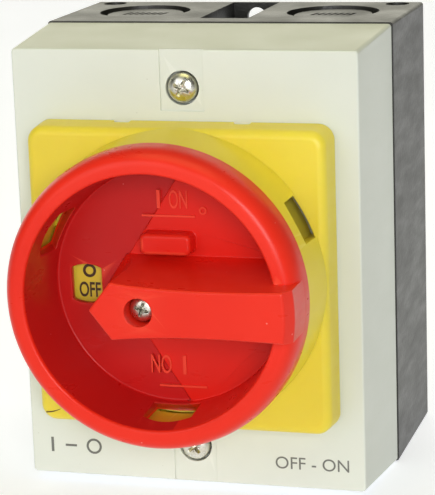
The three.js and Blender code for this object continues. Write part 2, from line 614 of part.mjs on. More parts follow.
function frontCover(level) {
  const { half, shaftHole } = SWITCH;
  const plate = roundedBody([[level.front, half - 0.6, half - 0.6, 1], [level.front + 0.6, half, half, 1],
    [level.back, half, half, 1]], 2);
  const part = join(plate, rod(8.5, level.front - level.boss, level.front + 1));
  return boltHoles(cut(part, rod(shaftHole, level.front - 4, level.back + 1)), level);
}

// ---- assembly ----

const assembly = new THREE.Group();
const enclosure = new THREE.Group();
const cover = new THREE.Group();
const turning = new THREE.Group();
const mechanism = new THREE.Group();
assembly.add(enclosure, cover, mechanism);
cover.add(turning);

enclosure.add(piece(baseBox(), 'base_box', DARK_GREY));
enclosure.add(piece(earthTerminal(), 'earth_terminal', BRASS, [EARTH.x, EARTH.bossFront - GAP, 0]));
enclosure.add(piece(terminalScrew(2.9, 2, 1.3, 9.5), 'earth_screw', ZINC,
  [EARTH.x, EARTH.bossFront - EARTH.height - 2 * GAP, 0]));

cover.add(piece(lid(), 'lid', LIGHT_GREY), piece(gasket(), 'gasket', RUBBER));
cover.add(piece(escutcheon(), 'escutcheon', YELLOW));
for (const [name, side, spin] of [['upper', 1, 0.35], ['lower', -1, 0.9]]) {
  const { headRadius, headHeight, shankRadius, length, seal } = LID_SCREW;
  const seat = FACE + LID_SCREW.seat - seal;
  const screwZ = side * LID_SCREW.z;
  cover.add(piece(panScrew(headRadius, headHeight, shankRadius, length), `lid_screw_${name}`, ZINC,
    [0, seat - GAP, screwZ], [0, spin, 0]));
  cover.add(piece(washer(shankRadius + 0.3, headRadius - 0.05, seal - GAP), `screw_seal_${name}`, RUBBER,
    [0, seat, screwZ]));
  cover.add(piece(panScrew(2.6, 1.8, 1.2, 6), `escutcheon_screw_${name}`, ZINC,
    [side * PLATE.screw, FACE + LID.front + GAP, side * PLATE.screw], [Math.PI, 0, 0]));
}

turning.add(piece(handle(), 'handle', RED));
turning.add(piece(panScrew(HANDLE_SCREW.headRadius, 1.9, HANDLE_SCREW.shankRadius, HANDLE_SCREW.length),
  'handle_screw', ZINC, [0, front(HANDLE_SCREW.seat), 0], [0, 0.3, 0]));
turning.add(piece(coupler(), 'coupler', NATURAL));
turning.add(piece(sealRing(5.42, 0.55), 'shaft_seal', RUBBER,
  [0, front((COUPLER.grooveFront + COUPLER.grooveBack) / 2), 0]));

mechanism.add(piece(deck(REAR_DECK), 'rear_deck', BLACK), piece(deck(FRONT_DECK), 'front_deck', BLACK));
mechanism.add(piece(detentHousing(DETENT_BOX), 'detent_housing', BLACK));
mechanism.add(piece(frontCover(TOP_COVER), 'front_cover', BLACK));
mechanism.add(piece(shaft(), 'shaft', ZINC), piece(cam(REAR_DECK), 'rear_cam', NATURAL));
mechanism.add(piece(cam(FRONT_DECK), 'front_cam', NATURAL));
mechanism.add(piece(detentWheel(DETENT_BOX), 'detent_wheel', NATURAL));

let poleNumber = 0;
let contactNumber = 0;

function addTerminal(level, side, up) {
  contactNumber += 1;
  const plateBack = level.back - SWITCH.wall - TERMINAL.bay - GAP;
  const x = side * TERMINAL.x;
  const z = up * (level.halfZ - TERMINAL.fromEnd);
  mechanism.add(piece(fixedContact(level, side * up), `fixed_contact_${contactNumber}`, COPPER,
    [x, plateBack, z], [0, up > 0 ? 0 : Math.PI, 0]));
  mechanism.add(piece(terminalScrew(2.9, 2, 1.55, 6.6), `terminal_screw_${contactNumber}`, ZINC,
    [x, plateBack - TERMINAL.plate - GAP, z], [0, 0.4 * contactNumber, 0]));
}

function addPole(level, side) {
  poleNumber += 1;
  const y = level.back - SWITCH.wall - CAM.back - CAM.width;
  const springStart = POLE.bridgeX + POLE.bridge + GAP;
  mechanism.add(piece(plunger(side), `plunger_${poleNumber}`, NATURAL, [side * POLE.plungerX, y, 0]));
  mechanism.add(piece(bridge(side), `bridge_${poleNumber}`, COPPER, [side * POLE.bridgeX, y, 0]));
  mechanism.add(piece(spring(POLE.springEnd - GAP - springStart), `bridge_spring_${poleNumber}`, ZINC,
    [side * springStart, y + POLE.width / 2, 0], [0, side > 0 ? 0 : Math.PI, 0]));
  addTerminal(level, side, 1);
  addTerminal(level, side, -1);
}

for (const level of [FRONT_DECK, REAR_DECK]) {
  addPole(level, -1);
  addPole(level, 1);
}

for (const [name, up] of [['upper', 1], ['lower', -1]]) {
  const nose = DETENT.lobe + GAP;
  const springStart = nose + DETENT.plunger + GAP;
  const y = DETENT_BOX.back - SWITCH.wall - 0.6 - POLE.width - 0.25;
  mechanism.add(piece(detentPlunger(), `detent_plunger_${name}`, NATURAL,
    [0, y, up * nose], [0, up > 0 ? 0 : Math.PI, 0]));
  mechanism.add(piece(spring(DETENT.springEnd - springStart), `detent_spring_${name}`, ZINC,
    [0, y + POLE.width / 2, up * springStart], [0, -up * Math.PI / 2, 0]));
}

for (const [number, side] of [[1, 1], [2, -1]]) {
  const y = TOP_COVER.front - GAP;
  const place = side * SWITCH.bolt;
  mechanism.add(piece(panScrew(2.7, 1.9, 1.45, 38.5), `through_bolt_${number}`, ZINC,
    [place, y, place], [0, 0.5 * number, 0]));
  mechanism.add(piece(panScrew(2.7, 1.9, 1.45, 43), `foot_screw_${number}`, ZINC,
    [place, y, -place], [0, 0.3 + 0.6 * number, 0]));
}

export default assembly;
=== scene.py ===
"""Rotary isolator switch: pieces, finishes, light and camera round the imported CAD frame."""
import json
from math import cos, hypot, pi, radians, sin, tan

import bmesh
import bpy
from mathutils import Matrix, Vector
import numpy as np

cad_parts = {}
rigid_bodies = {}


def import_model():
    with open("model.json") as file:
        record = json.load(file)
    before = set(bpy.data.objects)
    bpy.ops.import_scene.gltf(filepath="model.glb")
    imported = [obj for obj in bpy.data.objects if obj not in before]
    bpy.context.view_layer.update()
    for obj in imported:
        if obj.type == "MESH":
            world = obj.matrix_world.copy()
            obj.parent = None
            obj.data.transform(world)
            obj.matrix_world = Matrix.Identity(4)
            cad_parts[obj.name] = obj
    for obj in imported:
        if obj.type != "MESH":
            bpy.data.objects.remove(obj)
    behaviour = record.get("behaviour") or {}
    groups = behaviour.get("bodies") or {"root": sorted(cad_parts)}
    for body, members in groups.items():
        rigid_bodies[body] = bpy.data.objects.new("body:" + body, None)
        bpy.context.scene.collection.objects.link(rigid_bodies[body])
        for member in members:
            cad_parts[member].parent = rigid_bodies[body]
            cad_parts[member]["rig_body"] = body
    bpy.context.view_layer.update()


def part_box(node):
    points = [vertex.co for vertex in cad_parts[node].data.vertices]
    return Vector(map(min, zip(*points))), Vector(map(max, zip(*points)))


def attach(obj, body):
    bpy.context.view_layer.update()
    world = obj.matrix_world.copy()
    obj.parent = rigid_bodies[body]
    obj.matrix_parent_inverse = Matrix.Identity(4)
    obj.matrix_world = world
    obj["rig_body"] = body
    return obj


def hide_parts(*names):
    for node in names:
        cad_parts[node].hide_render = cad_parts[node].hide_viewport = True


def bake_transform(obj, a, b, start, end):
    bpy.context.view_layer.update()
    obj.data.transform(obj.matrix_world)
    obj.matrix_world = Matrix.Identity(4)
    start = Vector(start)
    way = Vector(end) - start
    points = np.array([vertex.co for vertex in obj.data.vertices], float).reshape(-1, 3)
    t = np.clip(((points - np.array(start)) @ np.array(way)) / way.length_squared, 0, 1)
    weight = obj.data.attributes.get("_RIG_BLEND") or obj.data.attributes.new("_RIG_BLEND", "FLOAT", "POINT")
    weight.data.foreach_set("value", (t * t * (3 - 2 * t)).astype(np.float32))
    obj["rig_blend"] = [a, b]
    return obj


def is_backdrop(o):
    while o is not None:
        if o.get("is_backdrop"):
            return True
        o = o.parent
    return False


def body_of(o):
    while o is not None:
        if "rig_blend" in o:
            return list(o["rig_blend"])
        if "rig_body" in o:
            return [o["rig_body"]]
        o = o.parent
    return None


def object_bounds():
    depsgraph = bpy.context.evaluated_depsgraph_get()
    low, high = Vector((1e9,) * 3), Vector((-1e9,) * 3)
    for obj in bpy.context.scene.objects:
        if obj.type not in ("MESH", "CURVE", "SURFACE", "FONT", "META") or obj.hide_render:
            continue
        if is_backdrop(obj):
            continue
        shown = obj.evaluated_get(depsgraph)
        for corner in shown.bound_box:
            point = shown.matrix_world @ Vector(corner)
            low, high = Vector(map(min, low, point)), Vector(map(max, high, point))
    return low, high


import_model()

# ---- sizes, in millimetres in the frame's axes: X right, Y into the wall, Z up ----

MM = 0.001


def extent(node):
    low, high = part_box(node)
    return [value / MM for value in low], [value / MM for value in high]


BASE_LOW, BASE_HIGH = extent("base_box")
HALF_X, HALF_Z, RIM = BASE_HIGH[0], BASE_HIGH[2], BASE_LOW[1]
FACE = extent("lid")[0][1]              # the lid's front plane
GAP = 0.3

BOX_WALL, BOX_BACK, BOX_CORNER = 3.0, 2.4, 0.7
LID_WALL, LID_FRONT, LID_EDGE, LID_FOOT = 3.0, 2.6, 0.45, 0.24
LID_DRAFT_X, LID_DRAFT_Z = 1.68, 2.17
GROOVE_OUTER, GROOVE_INNER, GROOVE_DEPTH = 1.2, 3.0, 1.6
KNOCKOUT_X, KNOCKOUT_Y, KNOCKOUT_RADIUS = 21.9, -17.6, 10.25
RING_INNER, RING_DEPTH, DISC_RADIUS, DISC_DEPTH, GROOVE_CUT = 8.7, 1.5, 8.8, 0.6, 0.95
CHANNEL_X, CHANNEL_FLOOR, CHANNEL_FRONT, CHANNEL_BACK = 5.4, 42.5, -29.4, -1.5
LUG_X, LUG_Z = 8.4, 34.4
WALL_HOLE_Z, WALL_HOLE_RADIUS, DRIVER_RADIUS = 45.5, 2.3, 1.9
LID_SCREW_Z, LID_SCREW_HEAD, LID_SCREW_SHANK = 38.8, 3.25, 1.55
CORNER_HOLE_X, CORNER_HOLE_Y, CORNER_HOLE_RADIUS = 33.7, -3.9, 2.65
BOLT = 20.2                             # centre lines of the switch's long screws
POST_RADIUS, PILOT_RADIUS, EARTH_X = 3.6, 1.7, 31.2

PLATE_HALF, PLATE_Z, PLATE_HEIGHT, PLATE_SKIN, PLATE_CORNER = 32.3, -0.3, 8.0, 2.0, 3.4
PLATE_SCREW, PLATE_SCREW_HOLE, LID_BORE = 18.0, 1.5, 11.2
COLLAR_BORE, COLLAR_FRONT_RADIUS, COLLAR_BASE_RADIUS, COLLAR_FRONT = 28.0, 29.0, 31.6, 19.2
DIAL_FRONT, DIAL_BACK = 9.0, 6.5
HUB_BORE, HUB_OUTER, HUB_BACK = 6.3, 8.6, -2.0
HANDLE_LOCKS = (32, 152, 272)           # degrees, counter-clockwise as the user sees them
COLLAR_LOCKS = (27.5, 147.5, 267.5)
LOCK_HALF, LOCK_RADIUS, LOCK_SLOPE = 5.1, 25.5, 1.19     # the cup's oblique padlock holes
LOCK_LOW, LOCK_END, LOCK_MIDDLE = 13.1, 21.1, 23.4

CUP_FLOOR, CUP_RIM, CUP_FLANGE = 12.0, 28.3, 19.7
CUP_WALL_RADIUS, CUP_FLANGE_RADIUS, CUP_CREST_RADIUS, CUP_WIDEST = 27.5, 31.2, 27.5, 21.9
CUP_RIM_INNER, CUP_FLOOR_RADIUS = 26.3, 25.0
GRIP_TOP = 34.5
WINDOW_X, WINDOW_Z = -18.6, -0.6
STEP_NEAR, STEP_FAR, STEP_DEPTH = (-9.4, 5.5), (3.2, 24.6), 0.5


def front(height):
    """Y of a plane this far in front of the lid."""
    return FACE - height


# ---- mesh building ----

def linked(name, data):
    """A new object in the scene."""
    made = bpy.data.objects.new(name, data)
    bpy.context.scene.collection.objects.link(made)
    return made


def from_faces(name, points, faces):
    mesh = bpy.data.meshes.new(name)
    mesh.from_pydata([(x * MM, y * MM, z * MM) for x, y, z in points], [], faces)
    shape = bmesh.new()
    shape.from_mesh(mesh)
    bmesh.ops.recalc_face_normals(shape, faces=shape.faces)
    shape.to_mesh(mesh)
    shape.free()
    return linked(name, mesh)


def loft(name, rings):
    """A closed body through rings of equal numbers of (x, y, z) points."""
    count = len(rings[0])
    faces = []
    for level in range(len(rings) - 1):
        for i in range(count):
            a, b = level * count + i, level * count + (i + 1) % count
            faces.append((a, b, b + count, a + count))
    faces.append(tuple(range(count)))
    faces.append(tuple(range((len(rings) - 1) * count, len(rings) * count)))
    return from_faces(name, [point for ring in rings for point in ring], faces)


def circle(radius, y, sides, x=0.0, z=0.0):
    turns = [2 * pi * i / sides for i in range(sides)]
    return [(x + radius * cos(t), y, z + radius * sin(t)) for t in turns]


def lathe(name, profile, sides=128):
    """Turns (radius, y) pairs round the Y axis; points on the axis close the ends."""
    return loft(name, [circle(radius, y, sides) for radius, y in profile if radius > 1e-6])


def collar(name, profile, sides=64, x=0.0, z=0.0):
    """Turns a closed (radius, y) outline that stays clear of the axis."""
    points = [point for radius, y in profile for point in circle(radius, y, sides, x, z)]
    faces = []
    for level in range(len(profile)):
        for i in range(sides):
            a, b = level * sides + i, level * sides + (i + 1) % sides
            following = (level + 1) % len(profile) * sides
            faces.append((a, b, following + (i + 1) % sides, following + i))
    return from_faces(name, points, faces)


def rod(radius, y0, y1, x=0.0, z=0.0, sides=32):
    return loft("tool", [circle(radius, y, sides, x, z) for y in (y0, y1)])


def rod_along_z(radius, z0, z1, x, y, sides=48):
    return loft("tool", [[(px + x, y + pz, z) for px, _, pz in circle(radius, 0, sides)]
                         for z in (z0, z1)])


def block(x, y, z):
    """A box from three pairs of limits, in any order."""
    (x0, x1), (y0, y1), (z0, z1) = sorted(x), sorted(y), sorted(z)
    return loft("tool", [[(x0, level, z0), (x1, level, z0), (x1, level, z1), (x0, level, z1)]
                         for level in (y0, y1)])


def rounded(corners, steps=6, closed=True):
    """An outline of (a, b, radius) corners with each corner turned into an arc."""
    points = []
    for i, (a, b, radius) in enumerate(corners):
        if not closed and i in (0, len(corners) - 1):
            points.append((a, b))
            continue
        here = Vector((a, b))
        back = Vector(corners[i - 1][:2]) - here
        ahead = Vector(corners[(i + 1) % len(corners)][:2]) - here
        half = back.angle(ahead) / 2
        if radius <= 0 or half > pi / 2 - 0.02:
            points.append((a, b))
            continue
        reach = min(radius / tan(half), back.length * 0.49, ahead.length * 0.49)
        radius = reach * tan(half)
        back, ahead = back.normalized(), ahead.normalized()
        centre = here + (back + ahead).normalized() * radius / sin(half)
        start, end = here + back * reach - centre, here + ahead * reach - centre
        sweep = start.angle_signed(end)
        for n in range(steps + 1):
            turn = -sweep * n / steps
            points.append((centre.x + start.x * cos(turn) - start.y * sin(turn),
                           centre.y + start.x * sin(turn) + start.y * cos(turn)))
    return points


def rectangle(half_x, half_z, corner, steps=6, centre_x=0.0, centre_z=0.0):
    corners = [(centre_x + sx * half_x, centre_z + sz * half_z, corner)
               for sx, sz in ((1, -1), (1, 1), (-1, 1), (-1, -1))]
    return rounded(corners, steps)


def slab(outline, y0, y1, name="tool"):
    return loft(name, [[(x, y, z) for x, z in outline] for y in (y0, y1)])


def rounded_box(name, levels, steps=8, centre_x=0.0, centre_z=0.0):
    """A body through rounded rectangles, each (y, half_x, half_z, corner radius)."""
    return loft(name, [[(x, y, z) for x, z in rectangle(hx, hz, corner, steps, centre_x, centre_z)]
                       for y, hx, hz, corner in levels])


def turn_about(piece, degrees):
    """Turns a piece's mesh about the Y axis, counter-clockwise as the user sees it."""
    piece.data.transform(Matrix.Rotation(radians(-degrees), 4, "Y"))
    return piece


def discard(piece):
    mesh = piece.data
    bpy.data.objects.remove(piece)
    bpy.data.meshes.remove(mesh)


def settle(piece):
    """Replaces a piece's mesh with what its modifiers make of it."""
    graph = bpy.context.evaluated_depsgraph_get()
    mesh = bpy.data.meshes.new_from_object(piece.evaluated_get(graph))
    old = piece.data
    piece.modifiers.clear()
    piece.data = mesh
    mesh.name = piece.name
    bpy.data.meshes.remove(old)
    return piece


def combine(piece, operation, *tools):
    for tool in tools:
        modifier = piece.modifiers.new("shape", "BOOLEAN")
        modifier.object = tool
        modifier.operation = operation
        modifier.solver = "EXACT"
    settle(piece)
    for tool in tools:
        discard(tool)
    return piece


def cut(piece, *tools):
    return combine(piece, "DIFFERENCE", *tools)


def join(piece, *tools):
    return combine(piece, "UNION", *tools)


MERGE = 0.012 * MM                      # points nearer than this become one


def tidy(piece):
    shape = bmesh.new()
    shape.from_mesh(piece.data)
    bmesh.ops.remove_doubles(shape, verts=shape.verts, dist=MERGE)
    bmesh.ops.dissolve_degenerate(shape, edges=shape.edges, dist=MERGE)
    shape.to_mesh(piece.data)
    shape.free()
    return piece


def soften(piece, width=0.2, segments=3, angle=32.0, spare=None):
    """Rounds every sharp edge but those whose middle is spared, and shades the rest smoothly."""
    tidy(piece)
    shape = bmesh.new()
    shape.from_mesh(piece.data)
    weight = shape.edges.layers.float.new("bevel_weight_edge")
    for edge in shape.edges:
        middle = (edge.verts[0].co + edge.verts[1].co) / (2 * MM)
        sharp = edge.is_manifold and edge.calc_face_angle(0) > radians(angle)
        edge[weight] = 1.0 if sharp and not (spare and spare(middle)) else 0.0
    shape.to_mesh(piece.data)
    shape.free()
    bevel = piece.modifiers.new("edges", "BEVEL")
    bevel.width = width * MM
    bevel.segments = segments
    bevel.limit_method = "WEIGHT"
    bevel.use_clamp_overlap = False
    bevel.miter_outer = "MITER_ARC"
    settle(piece)
    return smooth(piece, 40)


def weigh_normals(piece):
    """Keeps flat faces flat in the shading next to their rounded edges."""
    piece.modifiers.new("shading", "WEIGHTED_NORMAL").keep_sharp = True


def smooth(piece, angle=35.0):
    piece.data.shade_smooth()
    piece.data.set_sharp_from_angle(angle=radians(angle))
    weigh_normals(piece)
    return piece


# ---- finishes ----

SPAN = ("From Min", "From Max", "To Min", "To Max")


def preset(node, sockets, values):
    for key, value in zip(sockets, values):
        node.inputs[key].default_value = value


class Finish:
    """A node material round one Principled shader."""

    def __init__(self, name, metallic=0.0, specular=0.5):
        self.material = bpy.data.materials.new(name)
        self.material.use_nodes = True
        self.tree = self.material.node_tree
        self.shader = self.tree.nodes["Principled BSDF"]
        preset(self.shader, ("Metallic", "IOR", "Specular IOR Level"), (metallic, 1.5, specular))
        self.place = self.node("ShaderNodeTexCoord").outputs["Object"]

    def node(self, kind, **settings):
        made = self.tree.nodes.new(kind)
        for key, value in settings.items():
            setattr(made, key, value)
        return made

    def feed(self, source, target):
        self.tree.links.new(source, target)

    def noise(self, scale, detail=3.0, rough=0.5, stretch=None):
        texture = self.node("ShaderNodeTexNoise")
        preset(texture, ("Scale", "Detail", "Roughness"), (scale, detail, rough))
        source = self.place
        if stretch:
            mapping = self.node("ShaderNodeMapping")
            mapping.inputs["Scale"].default_value = stretch
            self.feed(source, mapping.inputs["Vector"])
            source = mapping.outputs["Vector"]
        self.feed(source, texture.inputs["Vector"])
        return texture.outputs["Fac"]

    def ramp(self, source, low, high, start=0.0, end=1.0):
        node = self.node("ShaderNodeMapRange")
        preset(node, SPAN, (low, high, start, end))
        self.feed(source, node.inputs["Value"])
        return node.outputs["Result"]

    def math(self, operation, first, second=0.0):
        node = self.node("ShaderNodeMath", operation=operation)
        for socket, value in zip(node.inputs, (first, second)):
            if isinstance(value, (int, float)):
                socket.default_value = value
            else:
                self.feed(value, socket)
        return node.outputs["Value"]

    def multiply(self, first, *others):
        for other in others:
            first = self.math("MULTIPLY", first, other)
        return first

    def mix(self, factor, first, second):
        node = self.node("ShaderNodeMix", data_type="RGBA")
        for key, value in ((0, factor), (6, first), (7, second)):
            socket = node.inputs[key]
            if isinstance(value, (int, float)):
                socket.default_value = value
            elif isinstance(value, tuple):
                socket.default_value = (*value, 1.0)
            else:
                self.feed(value, socket)
        return node.outputs[2]

    def specks(self, scale, size):
        """1 inside sparse small dots, 0 elsewhere."""
        dots = self.node("ShaderNodeTexVoronoi")
        dots.inputs["Scale"].default_value = scale
        self.feed(self.place, dots.inputs["Vector"])
        chosen = self.node("ShaderNodeSeparateColor")
        self.feed(dots.outputs["Color"], chosen.inputs["Color"])
        near = self.math("LESS_THAN", dots.outputs["Distance"], size)
        few = self.math("GREATER_THAN", chosen.outputs["Red"], 0.8)
        return self.multiply(near, few)

    def worn_edges(self):
        return self.ramp(self.node("ShaderNodeNewGeometry").outputs["Pointiness"], 0.52, 0.6)

    def bump(self, height, distance, strength=1.0, under=None):
        node = self.node("ShaderNodeBump")
        preset(node, ("Distance", "Strength"), (distance, strength))
        self.feed(height, node.inputs["Height"])
        if under is not None:
            self.feed(under, node.inputs["Normal"])
        return node.outputs["Normal"]

    def glow_through(self, weight, radii):
        """Lets some light wander under the surface, to these depths in millimetres."""
        preset(self.shader, ("Subsurface Weight", "Subsurface Radius", "Subsurface Scale"),
               (weight, radii, MM))

    def set(self, colour=None, roughness=None, normal=None):
        for key, value in (("Base Color", colour), ("Roughness", roughness), ("Normal", normal)):
            if value is not None:
                self.feed(value, self.shader.inputs[key])
        return self.material


def plastic(name, dark, light, wear, rough=(0.3, 0.42), grain=(2600, 0.000012), specular=0.5,
            speck=(0.9, 0.9, 0.9), speck_amount=0.5, extra=None, depth=None, sag=0.35):
    """A moulded plastic with worn edges, dust, smears, fine grain and broad sag of its surface."""
    finish = Finish(name, specular=specular)
    if depth:
        finish.glow_through(0.35, depth)
    cloud = finish.ramp(finish.noise(28, 4.0), 0.35, 0.65)
    colour = finish.mix(cloud, dark, light)
    if extra:
        colour = extra(finish, colour)
    colour = finish.mix(finish.multiply(finish.worn_edges(), 0.45), colour, wear)
    dust = finish.multiply(finish.specks(420, 0.07), speck_amount)
    colour = finish.mix(dust, colour, speck)
    smear = finish.noise(90, 3.0, 0.6, stretch=(1.0, 1.0, 3.5))
    roughness = finish.ramp(smear, 0.3, 0.7, *rough)
    sink = finish.bump(finish.noise(60, 2.0), 0.00012, sag)
    fine = finish.bump(finish.noise(grain[0], 2.0, 0.6), grain[1], 1.0, sink)
    return finish.set(colour, roughness, fine)


def metal(name, dark, light, rough=(0.18, 0.38), scratch=(1.0, 1.0, 12.0), bump=0.000012):
    finish = Finish(name, metallic=1.0)
    cloud = finish.ramp(finish.noise(350, 4.0), 0.35, 0.65)
    colour = finish.mix(cloud, dark, light)
    lines = finish.noise(900, 3.0, 0.7, stretch=scratch)
    roughness = finish.ramp(finish.noise(600, 4.0), 0.3, 0.7, *rough)
    return finish.set(colour, roughness, finish.bump(lines, bump, 0.8))


def painted_cup_shade(finish, colour):
    """Paints shade into the cup: a deeper red down its floor and inner wall, deeper still on the pointer's
    side.
    """
    split = finish.node("ShaderNodeSeparateXYZ")
    finish.feed(finish.place, split.inputs["Vector"])
    x, y, z = (split.outputs[axis] for axis in "XYZ")
    run, rise = STEP_FAR[0] - STEP_NEAR[0], STEP_FAR[1] - STEP_NEAR[1]
    length = hypot(run, rise)
    along = finish.multiply(finish.math("ABSOLUTE", z), run / length)
    across = finish.multiply(x, rise / length)
    offset = (STEP_NEAR[0] * rise - STEP_NEAR[1] * run) / length * MM
    beyond = finish.math("SUBTRACT", finish.math("SUBTRACT", across, along), offset)
    sector = finish.ramp(beyond, 0.00015, -0.00015)
    squares = finish.math("ADD", finish.multiply(x, x), finish.multiply(z, z))
    radius = finish.math("SQRT", squares)

    def above(value, limit):
        return finish.math("GREATER_THAN", value, limit * MM)

    inside = finish.math("LESS_THAN", radius, (CUP_RIM_INNER + 0.5) * MM)
    surface = finish.math("MAXIMUM", above(y, front(CUP_FLOOR) - 0.2),
                          above(radius, CUP_FLOOR_RADIUS - 0.2))
    cup = finish.multiply(surface, inside, above(y, front(CUP_RIM) + 0.8))
    # Painted shade: the red darkens towards the cup's floor.
    depth = finish.ramp(y, front(22) * MM, front(CUP_FLOOR + 2) * MM)
    colour = finish.mix(finish.multiply(depth, inside, 0.85), colour, (0.70, 0.011, 0.005))
    # Painted shade: the pointer's side of the cup's floor and inner wall is made darker.
    return finish.mix(finish.multiply(sector, cup, 0.9), colour, (0.52, 0.010, 0.010))


# The red gets painted shade deeper in the cup and on the pointer's side of its floor.
RED = plastic("red_plastic", (0.78, 0.022, 0.009), (0.86, 0.032, 0.015), (0.95, 0.12, 0.06),
              rough=(0.26, 0.38), specular=0.25, speck=(0.95, 0.45, 0.4), speck_amount=0.45,
              extra=painted_cup_shade)
YELLOW = plastic("yellow_plastic", (0.78, 0.62, 0.040), (0.84, 0.69, 0.055), (0.95, 0.8, 0.2),
                 rough=(0.36, 0.48), speck=(0.55, 0.4, 0.08), speck_amount=0.35,
                 depth=(2.4, 2.0, 0.3))
PALE_GREY = plastic("pale_grey_plastic", (0.68, 0.71, 0.64), (0.72, 0.75, 0.68), (0.82, 0.84, 0.78),
                    rough=(0.34, 0.46), grain=(1800, 0.000010), speck=(0.4, 0.4, 0.33),
                    speck_amount=0.25)
CHARCOAL = plastic("charcoal_plastic", (0.012, 0.012, 0.010), (0.019, 0.018, 0.015),
                   (0.07, 0.07, 0.065), rough=(0.34, 0.46), grain=(1100, 0.0001), specular=0.65,
                   speck=(0.3, 0.3, 0.28), sag=0.08)
BLACK = plastic("black_plastic", (0.012, 0.012, 0.012), (0.02, 0.02, 0.02), (0.08, 0.08, 0.08),
                rough=(0.35, 0.5), grain=(1700, 0.00003), speck=(0.2, 0.2, 0.2))
NATURAL = plastic("natural_plastic", (0.62, 0.57, 0.45), (0.70, 0.65, 0.53), (0.8, 0.76, 0.66),
                  rough=(0.35, 0.5), speck=(0.3, 0.26, 0.2))
RUBBER = plastic("seal_rubber", (0.015, 0.015, 0.015), (0.028, 0.028, 0.028), (0.06, 0.06, 0.06),
                 rough=(0.65, 0.85), grain=(1200, 0.00005), specular=0.3)
ZINC = metal("zinc_plated_steel", (0.62, 0.60, 0.52), (0.80, 0.79, 0.73))
DRAWN_STEEL = metal("drawn_steel", (0.60, 0.59, 0.55), (0.72, 0.71, 0.67), rough=(0.24, 0.34),
                    scratch=(1.0, 0.06, 1.0), bump=0.000002)
COPPER = metal("bare_copper", (0.72, 0.32, 0.17), (0.86, 0.46, 0.28), rough=(0.22, 0.45))
BRASS = metal("bare_brass", (0.72, 0.50, 0.19), (0.84, 0.63, 0.28), rough=(0.22, 0.42))
INK_DARK = plastic("dark_print", (0.035, 0.014, 0.004), (0.06, 0.025, 0.008), (0.08, 0.04, 0.02),
                   rough=(0.4, 0.55), speck_amount=0.0)
INK_GREY = plastic("grey_print", (0.10, 0.105, 0.09), (0.15, 0.155, 0.135), (0.2, 0.2, 0.18),
                   rough=(0.45, 0.6), speck_amount=0.0)


def fit(piece, finish, body, *nodes):
    """Gives a piece its finish and body, and the CAD nodes that it stands for."""
    piece.data.materials.clear()
    piece.data.materials.append(finish)
    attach(piece, body)
    if nodes:
        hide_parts(*nodes)
    return piece


# ---- base box ----

def rim_outline(inset, corner):
    """The land under the gasket runs round the rim and dips inside each lid screw."""
    x, z = HALF_X - inset, HALF_Z - inset
    lug_x, lug_z = LUG_X + inset - BOX_WALL, LUG_Z - inset + BOX_WALL
    corners = [(x, z), (lug_x, z), (lug_x, lug_z), (-lug_x, lug_z), (-lug_x, z), (-x, z),
               (-x, -z), (-lug_x, -z), (-lug_x, -lug_z), (lug_x, -lug_z), (lug_x, -z), (x, -z)]
    return rounded([(a, b, corner) for a, b in corners], 4)


def knockout_tools(x, side):
    """Cutters for a sunk ring round a shallower disc, with slanting grooves in the disc."""
    outer = HALF_Z + 1
    foot = RING_DEPTH - HALF_Z
    tools = [collar("tool", [(KNOCKOUT_RADIUS, -outer), (KNOCKOUT_RADIUS, foot),
                             (RING_INNER, foot), (RING_INNER, -outer)], 96),
             rod(DISC_RADIUS, -outer, DISC_DEPTH - HALF_Z, sides=96)]
    for number in range(-3, 4):
        ends = []
        for lean in (-1, 1):
            left = 1.4 * number + 0.5 * lean - 0.35
            right = left + 0.7
            ends.append([(left, -outer, lean * 1.9), (right, -outer, lean * 1.9),
                         (right, GROOVE_CUT - HALF_Z, lean * 1.9),
                         (left, GROOVE_CUT - HALF_Z, lean * 1.9)])
        tools.append(loft("tool", ends))
    swing = Matrix.Rotation(radians(-90 * side), 4, "X")
    shift = Matrix.Translation((x * MM, KNOCKOUT_Y * MM, 0))
    for tool in tools:
        tool.data.transform(shift @ swing)
    return tools


def base_box():
    box = rounded_box("base_box_moulding", [
        (y, HALF_X - inset, HALF_Z - inset, BOX_CORNER)
        for y, inset in ((RIM, 0), (-0.9, 0), (-0.45, 0.12), (-0.12, 0.45), (0, 0.9))])
    cut(box, slab(rim_outline(BOX_WALL, 0.9), RIM - 1, -BOX_BACK))
    for side in (1, -1):
        end = side * (HALF_Z + 1)
        cut(box, block((-CHANNEL_X, CHANNEL_X), (CHANNEL_FRONT, CHANNEL_BACK),
                       (side * CHANNEL_FLOOR, end)))
        cut(box, rod(WALL_HOLE_RADIUS, -5, 1, 0, side * WALL_HOLE_Z),
            rod(DRIVER_RADIUS, RIM - 1, CHANNEL_FRONT + 1, 0, side * WALL_HOLE_Z),
            rod(LID_SCREW_SHANK + 0.2, RIM - 1, -8, 0, side * LID_SCREW_Z))
        for x in (KNOCKOUT_X, -KNOCKOUT_X):
            for tool in knockout_tools(x, side):
                cut(box, tool)
        for hand in (1, -1):
            x = hand * CORNER_HOLE_X
            join(box, block((hand * (CORNER_HOLE_X - 3.8), hand * (HALF_X - 1)),
                            (CORNER_HOLE_Y - 3.8, -1),
                            (side * (HALF_Z - 6.5), side * (HALF_Z - 1))))
            cut(box, rod_along_z(CORNER_HOLE_RADIUS, side * (HALF_Z - 4.5), end,
                                 x, CORNER_HOLE_Y, 40))
        join(box, rod(POST_RADIUS, BASE_POST_FRONT, -1, side * BOLT, -side * BOLT))
        cut(box, rod(PILOT_RADIUS, BASE_POST_FRONT - 1, -1.2, side * BOLT, -side * BOLT))
    join(box, block((EARTH_X - 5.7, HALF_X - 2), (-8, -1), (-6, 6)))
    cut(box, rod(PILOT_RADIUS, -9, -1.5, EARTH_X, 0))
    cut(box, *back_marks())
    return soften(box, 0.14, 2)


BASE_POST_FRONT = extent("rear_deck")[1][1] + GAP


